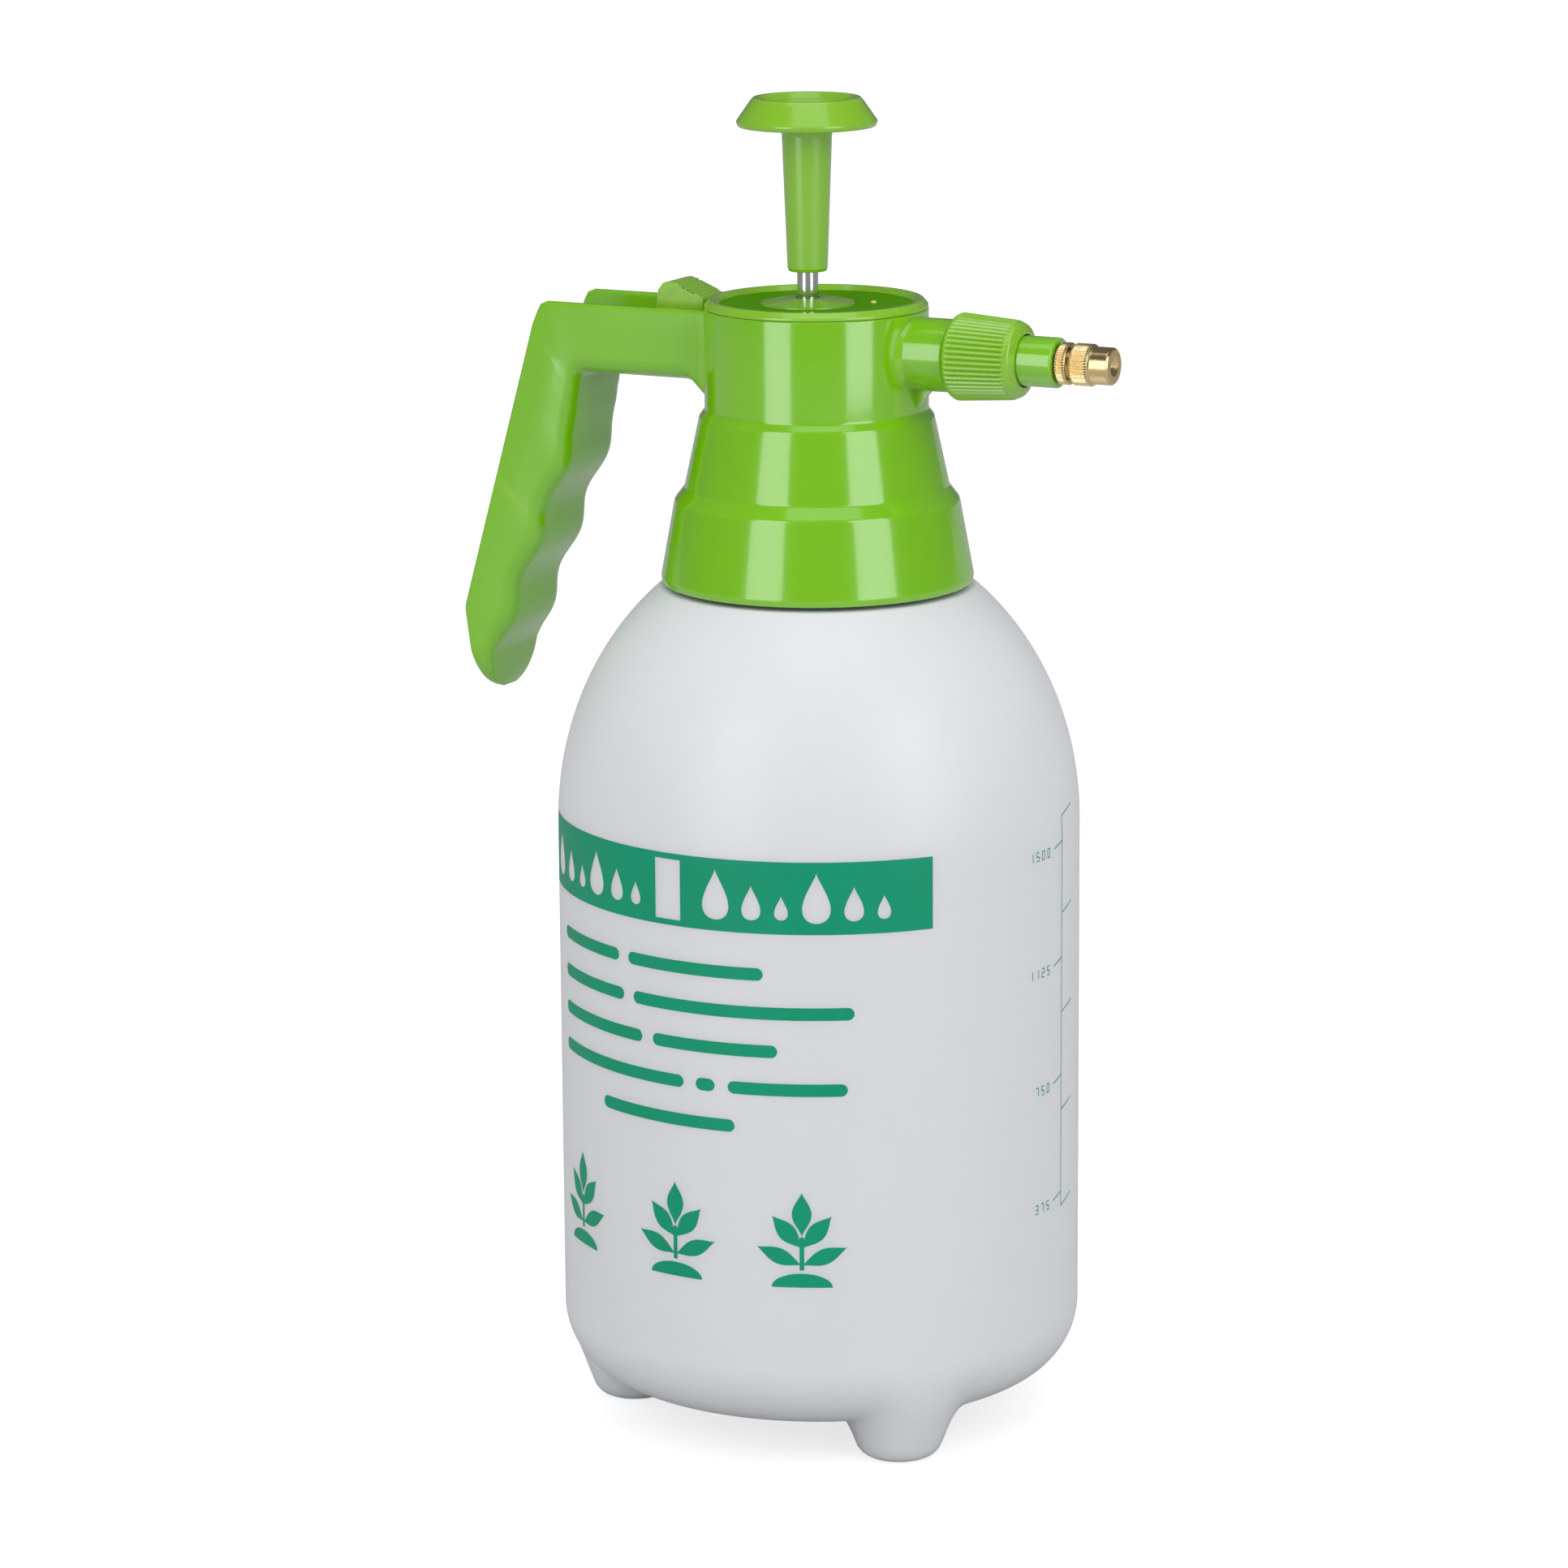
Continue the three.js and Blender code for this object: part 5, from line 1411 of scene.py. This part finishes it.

# %% [markdown]
# ## The valve's spring
# Under the valve's collar sits a small coil. It is wound here as a swept wire; on the real
# sprayer it shortens when the trigger pushes the valve open.

# %% Valve spring
WIRE = 0.21
COIL_TURNS = 3.0
coil_x = middle("valve_spring", 0)
coil_y = middle("valve_spring", 1)
coil_low = low("valve_spring", 2)
coil_rise = high("valve_spring", 2) - coil_low - 2 * WIRE
coil_radius = (high("valve_spring", 0) - low("valve_spring", 0)) / 2 - WIRE
coil_verts = []
coil_faces = []
coil_steps = int(COIL_TURNS * 48)
round_steps = 12
for i in range(coil_steps + 1):
    angle = 2 * math.pi * COIL_TURNS * i / coil_steps
    height = coil_low + WIRE + coil_rise * i / coil_steps
    for k in range(round_steps):
        roll = 2 * math.pi * k / round_steps
        reach = coil_radius + WIRE * math.cos(roll)
        wire_z = height + WIRE * math.sin(roll)
        coil_verts.append((coil_x + reach * math.cos(angle), coil_y + reach * math.sin(angle), wire_z))
for i in range(coil_steps):
    for k in range(round_steps):
        a = i * round_steps + k
        b = i * round_steps + (k + 1) % round_steps
        coil_faces.append((a, b, b + round_steps, a + round_steps))
coil_faces.append(tuple(range(round_steps)))
coil_faces.append(tuple(reversed(range(coil_steps * round_steps, (coil_steps + 1) * round_steps))))
coil_mesh = finish_mesh("valve_coil", coil_verts, coil_faces)
coil = place("valve_coil", coil_mesh, spring_metal, "head", "steel", "valve_spring")
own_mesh(coil)

# %% [markdown]
# ## The spray end
# The union nut is gripped by hand, so straight ribs run along it. They are cut into the grid
# itself: the radius dips and rises forty-eight times round, and fades to plain at both ends.
# The brass parts carry a much finer straight knurl, made the same way.

# %% Ribs and knurls
RIB_COUNT = 48
RIB_DEPTH = 0.62
KNURL_DEPTH = 0.34


def ribbed(depth, start, end, fade):
    """Makes a shift that cuts straight ribs between two places along the axis."""
    def shift(r, h, angle):
        inside = min(1.0, max(0.0, (h - start) / fade), max(0.0, (end - h) / fade))
        wave = 1 - abs(math.cos(RIB_COUNT * angle / 2))
        return r - depth * inside * wave, h
    return shift


def rows_between(points, spacing):
    """Adds rows along the straight stretches of a profile, so that ribs can fade smoothly."""
    out = [points[0]]
    for a, b in zip(points, points[1:]):
        parts = max(1, int(math.dist(a, b) / spacing))
        for k in range(1, parts + 1):
            out.append((a[0] + (b[0] - a[0]) * k / parts, a[1] + (b[1] - a[1]) * k / parts))
    return out


nut_back = low("union_nut", 0) - bottle_x
nut_front = high("union_nut", 0) - bottle_x
knurl_end = nut_front - 2.4
nut_outer = soften([
    (8.6, nut_back), (9.9, nut_back, 0.3), (10.3, nut_back + 0.7, 0.4), (9.35, knurl_end - 0.3, 0.6),
    (8.6, knurl_end + 1.5, 0.9), (6.8, nut_front, 0.5), (6.25, nut_front),
], steps=5)
nut_profile = rows_between(nut_outer, 0.6) + [(6.25, nut_front - 2.6), (8.6, nut_front - 2.6)]


def nut_ribs(r, h, angle):
    if r < 8.62:
        return r, h
    return ribbed(RIB_DEPTH, nut_back + 0.35, knurl_end + 0.5, 0.7)(r, h, angle)


nut_mesh = turned("union_nut", nut_profile, 480, (bottle_x, nozzle_z), lying=True, closed=True,
                  shift=nut_ribs, sharp=50)
# The nut takes the paler green, which is painted light.
place("ribbed_nut", nut_mesh, pale_green_painted_light, "union_nut", "green_plastic", "union_nut")

# %% [markdown]
# The nozzle tube slides forward as the nut backs off. In front of it sit the brass body, of
# which a knurled ring shows, and the brass tip, which screws in and out to change the spray.

# %% Nozzle tube and brass
flange = low("nozzle_tube", 0) - bottle_x
tube_front = high("nozzle_tube", 0) - bottle_x
tube_outline = soften([
    (1.8, flange, 0.2), (7.85, flange, 0.2), (7.85, flange + 1.95, 0.2),
    (5.88, flange + 1.95, 0.3), (5.88, tube_front - 0.1, 0.5),
    (4.1, tube_front - 0.1, 0.2), (4.1, tube_front - 8.3), (1.8, tube_front - 8.3),
], steps=5, closed=True)
tube_mesh = turned("nozzle_tube_moulding", tube_outline, 96, (bottle_x, nozzle_z), lying=True, closed=True)
place("nozzle_tube_moulding", tube_mesh, green_plastic, "nozzle_tube", "green_plastic", "nozzle_tube")

body_back = low("nozzle_body", 0) - bottle_x
body_front = high("nozzle_body", 0) - bottle_x
ring_back = tube_front + 0.3
ring_front = ring_back + 2.7
body_outline = soften([
    (1.0, body_back), (3.8, body_back, 0.2), (3.8, ring_back), (4.6, ring_back, 0.15),
    (4.93, ring_back + 0.35, 0.1), (4.93, ring_front - 0.35, 0.1), (4.6, ring_front, 0.15),
    (3.45, ring_front), (3.45, body_front, 0.2), (1.0, body_front),
], closed=True)
brass_rows = rows_between(body_outline, 0.3)


def ring_knurl(r, h, angle):
    if r < 4.7 or not ring_back < h < ring_front:
        return r, h
    return ribbed(KNURL_DEPTH, ring_back + 0.25, ring_front - 0.25, 0.2)(r, h, angle)


body_mesh = turned("brass_body", brass_rows, 360, (bottle_x, nozzle_z), lying=True, closed=True,
                   shift=ring_knurl, sharp=50)
place("brass_body", body_mesh, brass_metal, "nozzle_tube", "brass", "nozzle_body")

tip_back = low("nozzle_tip", 0) - bottle_x
tip_front = high("nozzle_tip", 0) - bottle_x
tip_outline = soften([
    (3.8, tip_back), (4.6, tip_back, 0.15), (4.93, tip_back + 0.35, 0.1),
    (4.93, tip_back + 4.4, 0.1), (4.6, tip_back + 4.75, 0.1), (4.38, tip_back + 5.1, 0.15),
    (4.38, tip_front - 0.45, 0.2), (3.95, tip_front, 0.2), (2.3, tip_front, 0.15),
    (0.62, tip_front - 1.15, 0.1), (0.6, tip_front - 2.7), (3.8, tip_front - 2.7),
], steps=4, closed=True)
tip_rows = rows_between(tip_outline, 0.35)


def tip_knurl(r, h, angle):
    if r < 4.7 or not tip_back < h < tip_back + 4.8:
        return r, h
    return ribbed(KNURL_DEPTH, tip_back + 0.25, tip_back + 4.5, 0.2)(r, h, angle)


tip_mesh = turned("brass_tip", tip_rows, 360, (bottle_x, nozzle_z), lying=True, closed=True,
                  shift=tip_knurl, sharp=50)
place("brass_tip", tip_mesh, brass_metal, "nozzle_tip", "brass", "nozzle_tip")

# %% [markdown]
# ## The pieces that stay as packed
# Small inner pieces, such as the piston, the valve and the seals, have the right shape
# already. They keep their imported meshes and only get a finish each, so that nothing inside is
# left plain when a joint moves and opens a view of it.

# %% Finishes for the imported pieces
INNER_FINISHES = {
    "piston": white_plastic, "piston_cup": rubber, "rod_guide": white_plastic, "barrel_seal": rubber,
    "valve_body": white_plastic, "valve_stem": chrome_metal, "stem_seal": rubber,
    "trigger_pin": chrome_metal, "delivery_tube": hose_plastic, "outlet_elbow": white_plastic,
    "union_washer": rubber, "tip_seal": rubber,
}
for node, finish in INNER_FINISHES.items():
    inner = bpy.data.objects[node]
    inner.data.materials.clear()
    inner.data.materials.append(finish)
print("packed pieces finished:", len(INNER_FINISHES))
